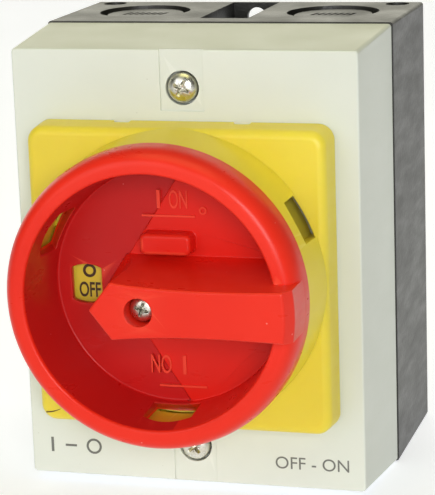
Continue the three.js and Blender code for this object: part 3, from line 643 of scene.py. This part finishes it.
def back_marks():
    """Shallow moulding marks on the wall side: two sunk fields and ejector discs."""
    marks = []
    for side in (1, -1):
        field = rectangle(HALF_X - 6, 16.5, 2.0, 6, 0, side * 21)
        marks.append(slab(field, -0.35, 1))
    for x in (-31, 31):
        for z in (-42.5, 42.5):
            marks.append(rod(2.6, -0.3, 1, x, z, 40))
    return marks


fit(base_box(), CHARCOAL, "enclosure", "base_box")


# ---- lid, gasket and plate ----

def arc_levels(radius, steps=5):
    """(distance from the front, inset) pairs down a rounded front edge."""
    turns = [pi / 2 * n / steps for n in range(steps + 1)]
    return [(radius * (1 - cos(t)), radius * (1 - sin(t))) for t in turns]


def lid():
    def level(y, inset, corner):
        share = (RIM - y) / (RIM - FACE)
        return y, HALF_X - LID_DRAFT_X * share - inset, HALF_Z - LID_DRAFT_Z * share - inset, corner

    levels = [level(FACE + depth, inset, 0.9 - inset * 0.6)
              for depth, inset in arc_levels(LID_EDGE)]
    levels += [level(RIM - GAP - 0.2, LID_FOOT, 0.7), level(RIM - GAP, LID_FOOT + 0.12, 0.6)]
    shell = rounded_box("lid_moulding", levels)
    hollow = rounded_box("tool", [level(FACE + LID_FRONT, LID_WALL + 0.2, 0.8),
                                  level(RIM + 1, LID_WALL, 0.8)])
    for side in (1, -1):
        cut(hollow, block((-LUG_X, LUG_X), (FACE, RIM + 2), (side * LUG_Z, side * HALF_Z)))
    groove = slab(rim_outline(GROOVE_OUTER, 1.3), RIM - GROOVE_DEPTH - GAP, RIM + 1)
    cut(groove, slab(rim_outline(GROOVE_INNER + 0.2, 0.9), RIM - 3, RIM + 2))
    cut(shell, hollow)
    cut(shell, groove)
    cut(shell, rod(LID_BORE, FACE - 1, FACE + LID_FRONT + 1, sides=96))
    for side in (1, -1):
        z = side * LID_SCREW_Z
        cut(shell, block((-4.7, 4.7), (FACE - 1, FACE + 0.4), (side * 34, side * (HALF_Z + 1))))
        cut(shell, rod(LID_SCREW_HEAD + 0.35, FACE - 1, FACE + 2.6, 0, z, 64))
        cut(shell, rod(LID_SCREW_SHANK + 0.4, FACE - 1, RIM + 2, 0, z))
        cut(shell, rod(PLATE_SCREW_HOLE, FACE - 1, FACE + LID_FRONT + 1,
                       side * PLATE_SCREW, side * PLATE_SCREW))
    return soften(shell, 0.1, 2)


def gasket():
    ring = slab(rim_outline(GROOVE_OUTER + GAP, 1.1), RIM - GROOVE_DEPTH, RIM - GAP, "rim_gasket")
    cut(ring, slab(rim_outline(GROOVE_INNER - GAP, 1.0), RIM - 3, RIM + 1))
    return soften(ring, 0.3, 3)


def radial(outline, near, far, slope=0.0, pivot=0.0):
    """A tool running outward from the axis; it leans back by slope from the radius pivot."""
    return loft("tool", [[(r, front(h - slope * (r - pivot)), t) for t, h in outline]
                         for r in (near, far)])


def arched(half, low, end, middle, corner=0.45):
    """An (across, height) outline with a flat bottom and an arched top."""
    corners = [(-half, low, corner), (half, low, corner), (half, end, corner)]
    for n in range(1, 12):
        t = 1 - n / 6
        corners.append((half * t, end + (middle - end) * (1 - t * t), 0))
    return rounded(corners + [(-half, end, corner)], 4)


def sector(section, centre, half, arch=0.0):
    """Sweeps a (radius, height) outline round the axis; its highest points rise at the middle."""
    rings, top = [], max(h for _, h in section)
    for n in range(-8, 9):
        t = n / 8
        turn = radians(centre + half * t)
        rings.append([(r * cos(turn), front(h + (arch * (1 - t * t) if h == top else 0)),
                       r * sin(turn)) for r, h in section])
    return loft("tool", rings)


def collar_part():
    """The conical wall round the dial, with a slot from its foot at each padlock place."""
    outline = [(COLLAR_BORE, front(5.2)), (31.2, front(5.2)), (COLLAR_BASE_RADIUS, front(6.1)),
               (COLLAR_BASE_RADIUS, front(PLATE_HEIGHT)),
               (COLLAR_FRONT_RADIUS, front(COLLAR_FRONT)), (COLLAR_BORE, front(COLLAR_FRONT))]
    wall = collar("escutcheon_collar", outline, 192)
    slot = ((27, 3), (34, 3), (34, 12.8), (28.7, 12.8), (28.7, 10.8), (27, 10.8))
    for angle in COLLAR_LOCKS:
        cut(wall, sector(slot, angle, 8.8, 0.5))
    return soften(wall, 0.14, 3)


def escutcheon():
    levels = []
    for depth, inset in arc_levels(1.9, 7):
        half = PLATE_HALF - 0.3 - inset
        levels.append((front(PLATE_HEIGHT) + depth, half, half, PLATE_CORNER - inset * 0.75))
    levels += [(front(GAP + 0.15), PLATE_HALF, PLATE_HALF, PLATE_CORNER),
               (front(GAP), PLATE_HALF - 0.15, PLATE_HALF - 0.15, PLATE_CORNER)]
    plate = rounded_box("escutcheon_moulding", levels, 10, 0, PLATE_Z)
    inner = PLATE_HALF - PLATE_SKIN
    cut(plate, rounded_box("tool", [(front(PLATE_HEIGHT - PLATE_SKIN), inner - 1.2, inner - 1.2, 2),
                                    (front(-1), inner, inner, 2)], 6, 0, PLATE_Z))
    join(plate, rod(COLLAR_BASE_RADIUS - 1.6, front(PLATE_HEIGHT - 1), front(GAP), sides=128))
    join(plate, rod(COLLAR_BORE + 0.4, front(DIAL_FRONT), front(PLATE_HEIGHT - 1), sides=128))
    cut(plate, rod(COLLAR_BORE, front(DIAL_BACK), front(-1), sides=128))
    top, foot = front(DIAL_BACK + 0.6), front(2.3)
    join(plate, collar("tool", [(27.45, top), (27.45, foot), (26.2, foot), (26.2, top)], 128))
    join(plate, rod(HUB_OUTER, front(DIAL_BACK + 1), front(HUB_BACK), sides=64))
    for place in (PLATE_SCREW, -PLATE_SCREW):
        join(plate, rod(3, front(DIAL_BACK + 1), front(GAP), place, place))
        cut(plate, rod(PLATE_SCREW_HOLE, front(DIAL_BACK - 1), front(-1), place, place))
    cut(plate, rod(HUB_BORE, front(DIAL_FRONT + 1), front(HUB_BACK - 1), sides=64))
    for angle in COLLAR_LOCKS:
        cut(plate, sector(((28.3, -2), (31.1, -2), (31.1, 10), (28.3, 10)), angle, 9.1))
    for x in (13, -13):
        edge = PLATE_HALF + PLATE_Z
        cut(plate, block((x - 1.8, x + 1.8), (front(2.2), front(-1)), (edge - 0.8, edge + 1)))
    return soften(plate, 0.16, 3)


fit(lid(), PALE_GREY, "cover", "lid")
fit(gasket(), RUBBER, "cover", "gasket")
fit(escutcheon(), YELLOW, "cover", "escutcheon")
fit(collar_part(), YELLOW, "cover")


# ---- handle ----

def rim_curve(steps=16):
    """The flange's full outer rounding, from its widest level up to the crest."""
    points = []
    for n in range(steps + 1):
        turn = pi / 2 * n / steps
        out, up = cos(turn) ** 0.8, sin(turn) ** 0.8
        points.append((CUP_CREST_RADIUS + (CUP_FLANGE_RADIUS - CUP_CREST_RADIUS) * out,
                       front(CUP_WIDEST + (CUP_RIM - CUP_WIDEST) * up), 0))
    return points


def cup():
    floor = front(CUP_FLOOR - STEP_DEPTH)
    outside = [(0, front(10), 0), (CUP_WALL_RADIUS, front(10), 0.4),
               (CUP_WALL_RADIUS, front(CUP_FLANGE), 0.35),
               (CUP_FLANGE_RADIUS, front(CUP_FLANGE), 0.7)]
    inside = [(CUP_RIM_INNER, front(CUP_RIM), 0.85), (CUP_FLOOR_RADIUS, floor, 0.5), (0, floor, 0)]
    outline = rounded(outside + rim_curve() + inside, closed=False)
    return lathe("handle_moulding", outline, 192)


def grip_ring(height, blend, inset):
    """The grip's outline at one level: blend 0 is its top and blend 1 its foot on the floor."""
    def between(top, foot):
        return top + (foot - top) * blend

    tip = between(-10.3, -13.9) + inset * 1.4
    shoulder_x, shoulder = between(-5.7, -9.8) + inset * 0.6, between(5.85, 6.3) - inset
    waist, end = between(4.8, 6.3) - inset, between(5.3, 6.3) - inset
    reach = CUP_FLANGE_RADIUS + 2
    side = []
    for n in range(1, 17):
        t = n / 16
        bow = 4 * t * (1 - t)
        straight = shoulder * (1 - t) + end * t
        side.append((shoulder_x + (reach - shoulder_x) * t, straight * (1 - bow) + waist * bow, 0))
    half = [(shoulder_x, shoulder, 0.5)] + side
    corners = [(tip, 0, 0.5)] + half + [(x, -z, r) for x, z, r in reversed(half)]
    return [(x, front(height), z) for x, z in rounded(corners, 4)]


def grip():
    levels = [(GRIP_TOP - depth, 0, inset) for depth, inset in arc_levels(0.6, 5)]
    levels += [(height, blend, 0) for height, blend in (
        (24, 0.02), (20, 0.1), (18, 0.18), (16.5, 0.28), (15, 0.42), (14, 0.55), (13.2, 0.7),
        (12.6, 0.85), (11, 1))]
    body = loft("tool", [grip_ring(*level) for level in levels])
    outer = CUP_FLANGE_RADIUS - 0.08
    corners = [(0, front(10.5), 0), (CUP_FLOOR_RADIUS + 1, front(10.5), 0),
               (CUP_FLOOR_RADIUS + 1.4, front(20.2), 0), (outer, front(20.2), 0.3),
               (outer, front(GRIP_TOP - 2.4), 0.8), (outer - 1.6, front(GRIP_TOP), 0.9),
               (0, front(GRIP_TOP), 0)]
    envelope = lathe("tool", rounded(corners, closed=False), 192)
    return combine(body, "INTERSECT", envelope)


def thumb_rest():
    levels = [(front(15.6) + depth, 5.4 - inset, 2.2 - inset, 1.3 - inset)
              for depth, inset in arc_levels(0.9, 5)]
    levels.append((front(11), 5.55, 2.35, 1.4))
    return rounded_box("tool", levels, 6, 0.0, 9.15)


def raised_floor():
    """The floor stands a little higher right of two slanting lines."""
    (near_x, near_z), (far_x, far_z) = STEP_NEAR, STEP_FAR
    end_x, end_z = far_x + 0.3 * (far_x - near_x), far_z + 0.3 * (far_z - near_z)
    half = [(near_x, near_z), (end_x, end_z), (35, end_z)]
    outline = half + [(x, -z) for x, z in reversed(half)]
    return combine(slab(outline, front(CUP_FLOOR), front(CUP_FLOOR - 1.2)), "INTERSECT",
                   rod(CUP_FLOOR_RADIUS + 0.6, front(14), front(10), sides=192))


def dial_window():
    points = []
    for z in (-1, 1):
        for n in range(9):
            t = (n / 4 - 1) * -z
            points.append((WINDOW_X + 3.25 * t, WINDOW_Z + z * (3.4 + 0.75 * (1 - t * t))))
    return slab(points, front(14), front(9))


def handle():
    body = cup()
    join(body, raised_floor())
    join(body, grip())
    join(body, thumb_rest())
    hole = arched(LOCK_HALF, LOCK_LOW, LOCK_END, LOCK_MIDDLE)
    for angle in HANDLE_LOCKS:
        cut(body, turn_about(radial(hole, 22.3, 29.5, LOCK_SLOPE, LOCK_RADIUS), angle))
    cut(body, dial_window())
    cut(body, rod(2.85, front(GRIP_TOP + 1), front(29), sides=64))
    cut(body, rod(1.7, front(GRIP_TOP + 1), front(9)))
    cut(body, block((-4, 4), (front(22), front(9)), (-4, 4)))

    def run_out(point):
        """Where the grip's end sinks into the flange, and at the foot of the floor's step."""
        at_end = point.x > 27 and abs(point.z) < 8
        on_floor = point.y > front(CUP_FLOOR - STEP_DEPTH + 0.12)
        return at_end or (on_floor and point.x > -14.5 and hypot(point.x, point.z) < 24.3)

    return soften(body, 0.28, 3, spare=run_out)


fit(handle(), RED, "operator", "handle")


def coupler():
    low, high = extent("coupler")
    corners = [(0, front(9), 0), (6, front(9), 0.4), (6, front(5.4), 0.1), (4.6, front(5.4), 0.2),
               (4.6, front(3.4), 0.2), (6, front(3.4), 0.1), (6, front(-2.3), 0.2),
               (8.6, front(-2.3), 0.3), (8.6, front(-4.3), 0.3), (6, front(-4.3), 0.2),
               (6, high[1], 0.5), (0, high[1], 0)]
    body = lathe("drive_coupler", rounded(corners, 4, closed=False), 96)
    join(body, rounded_box("tool", [(low[1], 3.1, 3.1, 0.4), (low[1] + 0.5, 3.6, 3.6, 0.5),
                                    (front(8), 3.6, 3.6, 0.5)], 4))
    cut(body, block((-3.35, 3.35), (front(4), high[1] + 1), (-3.35, 3.35)))
    cut(body, rod(1.5, low[1] - 1, front(3)))
    return soften(body, 0.15, 2)


def middle_of(node):
    return [(a + b) / 2 for a, b in zip(*extent(node))]


def rounded_ring(node, wire):
    low, high = extent(node)
    outer, (x, y, z) = (high[0] - low[0]) / 2, middle_of(node)
    profile = [(px + outer - wire, y + pz) for px, _, pz in circle(wire, 0, 16)]
    return smooth(collar(node + "_ring", profile, 72, x, z))


def flat_ring(node, inner):
    low, high = extent(node)
    outer, (x, _, z) = (high[0] - low[0]) / 2, middle_of(node)
    corners = [(inner, low[1], 0.12), (outer, low[1], 0.2), (outer, high[1], 0.2),
               (inner, high[1], 0.12)]
    return smooth(collar(node + "_ring", rounded(corners, 3), 56, x, z))


fit(coupler(), NATURAL, "operator", "coupler")
fit(rounded_ring("shaft_seal", 0.55), RUBBER, "operator", "shaft_seal")
for node in ("screw_seal_upper", "screw_seal_lower"):
    fit(flat_ring(node, LID_SCREW_SHANK + 0.3), RUBBER, "cover", node)


# ---- screws and springs ----

def threaded(radius, pitch, start, end, tip=0.8, steps=8, sides=28):
    """Rings of a helical thread along Y that runs out into a point at its end."""
    rings, depth, count = [], pitch * 0.42, int((end - start) / pitch * steps)
    for n in range(count + 1):
        y = start + (end - start) * n / count
        taper = min(1.0, (end - y) / (tip * radius) * 0.75 + 0.2)
        ring = []
        for i in range(sides):
            turn = i / sides
            phase = (y / pitch - turn) % 1.0
            ridge = abs(2 * phase - 1) ** 1.3
            size = (radius - depth * ridge) * taper
            angle = turn * 2 * pi
            ring.append((size * cos(angle), y, size * sin(angle)))
        rings.append(ring)
    return rings


def place_screw(piece, node, spin, flip=False, lift=0.0):
    """Sets a screw on its node's axis with its head's top at the node's front, or its back."""
    low, high = extent(node)
    turn = Matrix.Rotation(spin, 4, "Y")
    if flip:
        turn = Matrix.Rotation(pi, 4, "X") @ turn
    x, _, z = middle_of(node)
    place = Vector((x, high[1] if flip else low[1] - lift, z)) * MM
    piece.data.transform(Matrix.Translation(place) @ turn)
    return piece


def cross_recess(half, arm, depth):
    """A tapered cross that sinks from the head's top at Y = 0."""
    rings = []
    for y, long, wide in ((-1, half * 1.15, arm * 1.15), (0.25, half, arm),
                          (depth * 0.8, half * 0.45, arm * 0.8), (depth, arm * 0.75, arm * 0.7)):
        corner = []
        for turn in range(4):
            quarter = Matrix.Rotation(radians(90 * turn), 2)
            corner += [quarter @ Vector(point)
                       for point in ((long, -wide), (long, wide), (wide, wide))]
        rings.append([(point.x, y, point.y) for point in corner])
    return loft("tool", rings)


def pan_screw(node, head, head_height, shank, pitch, thread_from, spin, flip=False, dome=0.78,
              lift=0.0):
    """A domed cross-head screw with its thread."""
    low, high = extent(node)
    length = high[1] - low[1]
    profile = []
    for n in range(11):
        t = pi / 2 * n / 10
        profile.append((max(0.02, head * sin(t)), head_height * dome * (1 - cos(t))))
    profile += [(head, head_height - 0.15), (head - 0.15, head_height), (shank * 0.5, head_height)]
    top = loft(node + "_steel", [circle(radius, y, 56) for radius, y in profile])
    cut(top, cross_recess(head * 0.56, head * 0.115, head_height * 0.75))
    cut(top, *[turn_about(block((head * 0.17, head * 0.36), (-1, head_height * 0.2),
                                (-0.05, 0.05)), angle) for angle in (45, 135, 225, 315)])
    soften(top, 0.06, 2, 35)
    neck = [circle(shank * 0.86, y, 28) for y in (head_height - 0.4, thread_from)]
    shaft = loft(node + "_thread", neck + threaded(shank, pitch, thread_from, length))
    smooth(shaft, 50)
    return place_screw(top, node, spin, flip, lift), place_screw(shaft, node, spin, flip, lift)


def slot_screw(node, head, head_height, shank, pitch, spin):
    low, high = extent(node)
    corners = [(0, 0, 0), (head, 0, 0.35), (head, head_height, 0.15), (shank * 0.5, head_height, 0)]
    top = lathe(node + "_steel", rounded(corners, 4, closed=False), 56)
    cut(top, block((-head - 1, head + 1), (-1, 0.9), (-0.4, 0.4)))
    soften(top, 0.07, 2, 35)
    shaft = loft(node + "_thread", [circle(shank * 0.86, head_height - 0.3, 28)]
                 + threaded(shank, pitch, head_height + 0.1, high[1] - low[1]))
    smooth(shaft, 50)
    return place_screw(top, node, spin), place_screw(shaft, node, spin)


def fit_screw(make, node, *sizes, **settings):
    """Makes a screw; its thread is a second piece on the same body."""
    top, shaft = make(node, *sizes, **settings)
    body = body_of(bpy.data.objects[node])[0]
    fit(top, ZINC, body, node)
    fit(shaft, ZINC, body)


for place, spin in (("upper", 0.42), ("lower", 0.9)):
    fit_screw(pan_screw, "lid_screw_" + place, LID_SCREW_HEAD, 2.3, LID_SCREW_SHANK, 1.1, 34, spin)
    fit_screw(pan_screw, "escutcheon_screw_" + place, 2.6, 1.8, 1.2, 0.9, 2.6, 0.3, flip=True)
fit_screw(pan_screw, "handle_screw", 2.6, 2.9, 1.3, 0.9, 11, 0.3, dome=0.36, lift=1.0)
for number in (1, 2):
    fit_screw(pan_screw, f"through_bolt_{number}", 2.7, 1.9, 1.45, 0.8, 26, 0.5 * number)
    fit_screw(pan_screw, f"foot_screw_{number}", 2.7, 1.9, 1.45, 1.1, 32, 0.3 + 0.6 * number)
for number in range(1, 9):
    fit_screw(slot_screw, f"terminal_screw_{number}", 2.9, 2.0, 1.55, 0.7, 0.4 * number)
fit_screw(slot_screw, "earth_screw", 2.9, 2.0, 1.3, 0.7, 0.25)


def coil(name, start, direction, length, radius=1.8, wire=0.3, turns=5.5, steps=22, sides=10):
    """A compression spring with closed ends along a direction in the XZ plane."""
    along = Vector(direction)
    across = Vector((0, 1, 0))
    third = along.cross(across)
    closed, rings = 0.9, []
    path = []
    count = int(turns * steps)
    open_pitch = (length - 2 * wire - 2 * closed * 2.1 * wire) / (turns - 2 * closed)
    for n in range(count + 1):
        turn = turns * n / count
        head = min(turn, closed) + max(0.0, turn - (turns - closed))
        spread = max(0.0, min(turn, turns - closed) - closed)
        advance = wire + head * 2.1 * wire + spread * open_pitch
        angle = turn * 2 * pi
        path.append(Vector(start) + along * advance + across * (radius * cos(angle))
                    + third * (radius * sin(angle)))
    for n, point in enumerate(path):
        tangent = (path[min(n + 1, count)] - path[max(n - 1, 0)]).normalized()
        side = tangent.cross(along).normalized()
        rise = side.cross(tangent)
        rings.append([tuple(point + (side * cos(t) + rise * sin(t)) * wire)
                      for t in (2 * pi * i / sides for i in range(sides))])
    return smooth(loft(name, rings), 60)


def fit_spring(node, direction, moving):
    """A spring that starts on a moving body and ends, along direction, on the enclosure."""
    low, high = extent(node)
    axis = Vector(direction)
    middle = Vector(middle_of(node))
    length = abs((Vector(high) - Vector(low)).dot(axis))
    start = middle - axis * length / 2
    piece = coil(node + "_wire", start, direction, length)
    piece.data.materials.append(ZINC)
    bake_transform(piece, moving, "enclosure", tuple(start * MM), tuple((start + axis * length) * MM))
    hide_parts(node)


for number in range(1, 5):
    hand = -1.0 if number % 2 else 1.0
    fit_spring(f"bridge_spring_{number}", (hand, 0.0, 0.0), f"contact_bar_{number}")
for place, up in (("upper", 1.0), ("lower", -1.0)):
    fit_spring("detent_spring_" + place, (0.0, 0.0, up), "detent_" + place)


# ---- switch block ----

def detail(node, finish, width=0.15, angle=40.0):
    """Finishes a CAD node and rounds its edges without touching its mesh."""
    piece = bpy.data.objects[node]
    piece.data.materials.clear()
    piece.data.materials.append(finish)
    flat = piece.modifiers.new("flat", "DECIMATE")
    flat.decimate_type = "DISSOLVE"
    flat.angle_limit = radians(1.0)
    bevel = piece.modifiers.new("edges", "BEVEL")
    bevel.width = width * MM
    bevel.segments = 2
    bevel.limit_method = "ANGLE"
    bevel.angle_limit = radians(angle)
    weigh_normals(piece)


for node in ("rear_deck", "front_deck", "detent_housing", "front_cover"):
    detail(node, BLACK)
for node in ("rear_cam", "front_cam", "detent_wheel", "detent_plunger_upper",
             "detent_plunger_lower"):
    detail(node, NATURAL)
detail("shaft", DRAWN_STEEL, 0.12)
detail("earth_terminal", BRASS, 0.25)
for number in range(1, 5):
    detail(f"plunger_{number}", NATURAL)
    detail(f"bridge_{number}", COPPER, 0.12)
for number in range(1, 9):
    detail(f"fixed_contact_{number}", COPPER, 0.12)


# ---- legends ----

def lettering(name, text, limits, y, thick=0.04, flip=False, bold=0.0):
    """Raised letters that fill (x0, x1, z0, z1) on the plane at y."""
    x0, x1, z0, z1 = limits
    curve = bpy.data.curves.new(name, "FONT")
    curve.body = text
    curve.extrude = 0.5
    curve.offset = bold
    curve.resolution_u = 6
    source = linked(name, curve)
    graph = bpy.context.evaluated_depsgraph_get()
    mesh = bpy.data.meshes.new_from_object(source.evaluated_get(graph))
    bpy.data.objects.remove(source)
    bpy.data.curves.remove(curve)
    shape = bmesh.new()
    shape.from_mesh(mesh)
    bmesh.ops.remove_doubles(shape, verts=shape.verts, dist=1e-5)
    low = [min(v.co[i] for v in shape.verts) for i in range(3)]
    high = [max(v.co[i] for v in shape.verts) for i in range(3)]
    for vert in shape.verts:
        a, b, c = ((vert.co[i] - low[i]) / (high[i] - low[i]) for i in range(3))
        if flip:
            a, b = 1 - a, 1 - b
        vert.co = Vector((x0 + (x1 - x0) * a, y - thick * c, z0 + (z1 - z0) * b)) * MM
    bmesh.ops.recalc_face_normals(shape, faces=shape.faces)
    shape.to_mesh(mesh)
    shape.free()
    mesh.name = name
    return linked(name, mesh)


def ring_mark(name, x, z, outer, stroke, y, thick=0.04):
    inner = outer - stroke
    section = [(outer, y - thick), (outer, y), (inner, y), (inner, y - thick)]
    return smooth(collar(name, section, 64, x, z), 30)


def bar_mark(name, x, z, y, thick=0.04):
    piece = block(x, (y - thick, y), z)
    piece.name = piece.data.name = name
    return piece


def plate_scratch():
    """A short curved dark line near the plate's lower left corner."""
    upper, lower = [], []
    for n in range(13):
        t = n / 12
        x = -30.6 + 3.3 * t
        z = -30.35 + 0.9 * t * t
        upper.append((x, z + 0.13 * sin(pi * min(1, t + 0.08)) + 0.02))
        lower.append((x, z - 0.1))
    return slab(lower + upper[::-1], front(PLATE_HEIGHT + 0.03), front(PLATE_HEIGHT - 0.6),
                "plate_line")


DIAL = front(DIAL_FRONT)
for mark in (ring_mark("dial_off_ring", -18.8, 1.6, 1.45, 0.6, DIAL),
             lettering("dial_off_word", "OFF", (-21.2, -16.5, -4.1, -0.85), DIAL, bold=0.018),
             bar_mark("dial_on_bar", (-0.32, 0.32), (18.2, 21.1), DIAL),
             lettering("dial_on_word", "ON", (-1.9, 1.9, 14.2, 17.2), DIAL, bold=0.018),
             plate_scratch()):
    fit(mark, INK_DARK, "cover")
for mark in (lettering("lid_word", "OFF - ON", (17.8, 33.8, -42.7, -40.0), FACE),
             bar_mark("lid_bar", (-32.9, -32.3), (-42.0, -38.7), FACE),
             bar_mark("lid_dash", (-29.6, -27.0), (-40.6, -40.1), FACE),
             ring_mark("lid_ring", -23.0, -40.3, 1.75, 0.5, FACE)):
    fit(mark, INK_GREY, "cover")


def raised_legend():
    """ON marks moulded on the cup's floor, upright above the grip and inverted below it."""
    y = front(CUP_FLOOR) + 0.55
    thick = 0.85
    parts = [lettering("tool", "ON", (0.25, 4.1, 16.1, 19.9), y, thick),
             bar_mark("tool", (-2.4, -1.7), (16.1, 19.9), y, thick),
             bar_mark("tool", (-5.7, 5.6), (14.3, 14.7), y, thick),
             ring_mark("tool", 7.35, 15.8, 0.8, 0.3, y, thick),
             lettering("tool", "ON", (-5.0, -0.6, -19.0, -15.0), y, thick, flip=True),
             bar_mark("tool", (1.9, 2.6), (-19.0, -15.0), y, thick),
             bar_mark("tool", (-3.3, 6.9), (-21.8, -21.4), y, thick)]
    for number, piece in enumerate(parts):
        piece.name = piece.data.name = f"floor_mark_{number + 1}"
        fit(piece, RED, "operator")


raised_legend()


# ---- camera, light and floor ----

def aim(azimuth, elevation, roll):
    """Rotation of a camera that looks back along a direction round the object."""
    a, e, r = (radians(value) for value in (azimuth, elevation, roll))
    back = Vector((sin(a) * cos(e), -cos(a) * cos(e), sin(e)))
    right = Vector((cos(a), sin(a), 0))
    up = back.cross(right)
    turned_right = right * cos(r) + up * sin(r)
    turned_up = up * cos(r) - right * sin(r)
    return Matrix((turned_right, turned_up, back)).transposed()


def area(name, position, target, size, power, colour):
    lamp = bpy.data.lights.new(name, "AREA")
    lamp.shape = "RECTANGLE"
    lamp.size, lamp.size_y = size
    lamp.energy = power
    lamp.color = colour
    holder = linked(name, lamp)
    holder.location = Vector(position)
    holder.rotation_euler = (Vector(target) - Vector(position)).to_track_quat("-Z", "Y").to_euler()


def studio():
    scene = bpy.context.scene
    lens = bpy.data.cameras.new("camera")
    lens.lens = 154.8
    lens.sensor_width = 36
    lens.clip_start, lens.clip_end = 0.02, 30
    camera = linked("camera", lens)
    turn = aim(16.52, 13.38, -1.98).to_4x4()
    camera.matrix_world = Matrix.Translation((0.12967, -0.47745, 0.10821)) @ turn
    scene.camera = camera
    scene.view_settings.view_transform = "Standard"

    low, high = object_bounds()
    middle = Vector([(a + b) / 2 for a, b in zip(low, high)])
    area("key", middle + Vector((-0.5, -1.0, 0.42)), middle, (0.8, 0.8), 3.6, (1.0, 1.0, 0.98))
    beside = aim(22, 15, 0) @ Vector((0, 0, 1.3))
    area("fill", middle + beside, middle, (0.42, 0.42), 8.2, (0.98, 0.99, 1.0))
    area("top", middle + Vector((0.0, -0.2, 1.1)), middle, (0.9, 0.9), 3.9, (1.0, 0.95, 0.42))

    world = bpy.data.worlds.new("studio")
    scene.world = world
    world.use_nodes = True
    tree = world.node_tree
    tree.nodes.clear()
    link = tree.links.new

    def node(kind, **settings):
        made = tree.nodes.new(kind)
        for key, value in settings.items():
            setattr(made, key, value)
        return made

    def span(source, low, high, start, end):
        made = node("ShaderNodeMapRange", interpolation_type="SMOOTHSTEP")
        preset(made, SPAN, (low, high, start, end))
        link(source, made.inputs["Value"])
        return made.outputs["Result"]

    def product(first, second):
        made = node("ShaderNodeMath", operation="MULTIPLY")
        link(first, made.inputs[0])
        link(second, made.inputs[1])
        return made.outputs[0]

    way = node("ShaderNodeSeparateXYZ")
    link(node("ShaderNodeTexCoord").outputs["Generated"], way.inputs["Vector"])
    behind = span(way.outputs["Y"], 0.25, 0.8, 0.0, 1.0)
    level = span(way.outputs["Z"], 0.3, 0.6, 1.0, 0.0)
    left = span(way.outputs["X"], 0.0, 0.4, 1.0, 0.0)
    strength = node("ShaderNodeMath", operation="MULTIPLY_ADD")
    link(product(product(behind, level), left), strength.inputs[0])
    preset(strength, (1, 2), (1.6, 0.1))
    output, chosen = node("ShaderNodeOutputWorld"), node("ShaderNodeMixShader")
    path = node("ShaderNodeLightPath")
    around, seen = node("ShaderNodeBackground"), node("ShaderNodeBackground")
    around.inputs["Color"].default_value = (1.0, 0.98, 0.84, 1)
    seen.inputs["Color"].default_value = (1, 1, 1, 1)
    link(strength.outputs[0], around.inputs["Strength"])
    link(path.outputs["Is Camera Ray"], chosen.inputs[0])
    link(around.outputs[0], chosen.inputs[1])
    link(seen.outputs[0], chosen.inputs[2])
    link(chosen.outputs[0], output.inputs["Surface"])

    far = 2500
    floor = from_faces("floor", [(-far, -far, 0), (far, -far, 0), (far, far, 0), (-far, far, 0)],
                       [(0, 1, 2, 3)])
    floor.location = (0, 0, low[2] - 0.0001)
    finish = Finish("floor")
    shade = finish.mix(finish.noise(3, 2.0), (0.52, 0.55, 0.62), (0.55, 0.58, 0.65))
    polish = finish.ramp(finish.noise(8), 0.3, 0.7, 0.55, 0.65)
    floor.data.materials.append(finish.set(shade, polish))
    split = finish.node("ShaderNodeSeparateXYZ")
    finish.feed(finish.place, split.inputs["Vector"])
    rear = finish.ramp(split.outputs["Y"], -0.16, -0.01, 0.26, 0.7)
    reach = finish.node("ShaderNodeVectorMath", operation="LENGTH")
    finish.feed(finish.place, reach.inputs[0])
    away = finish.ramp(reach.outputs["Value"], 0.3, 1.6, 0.0, 0.85)
    finish.feed(finish.math("MAXIMUM", rear, away), finish.shader.inputs["Emission Strength"])
    finish.shader.inputs["Emission Color"].default_value = (0.99, 0.99, 1, 1)
    floor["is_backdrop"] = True


studio()
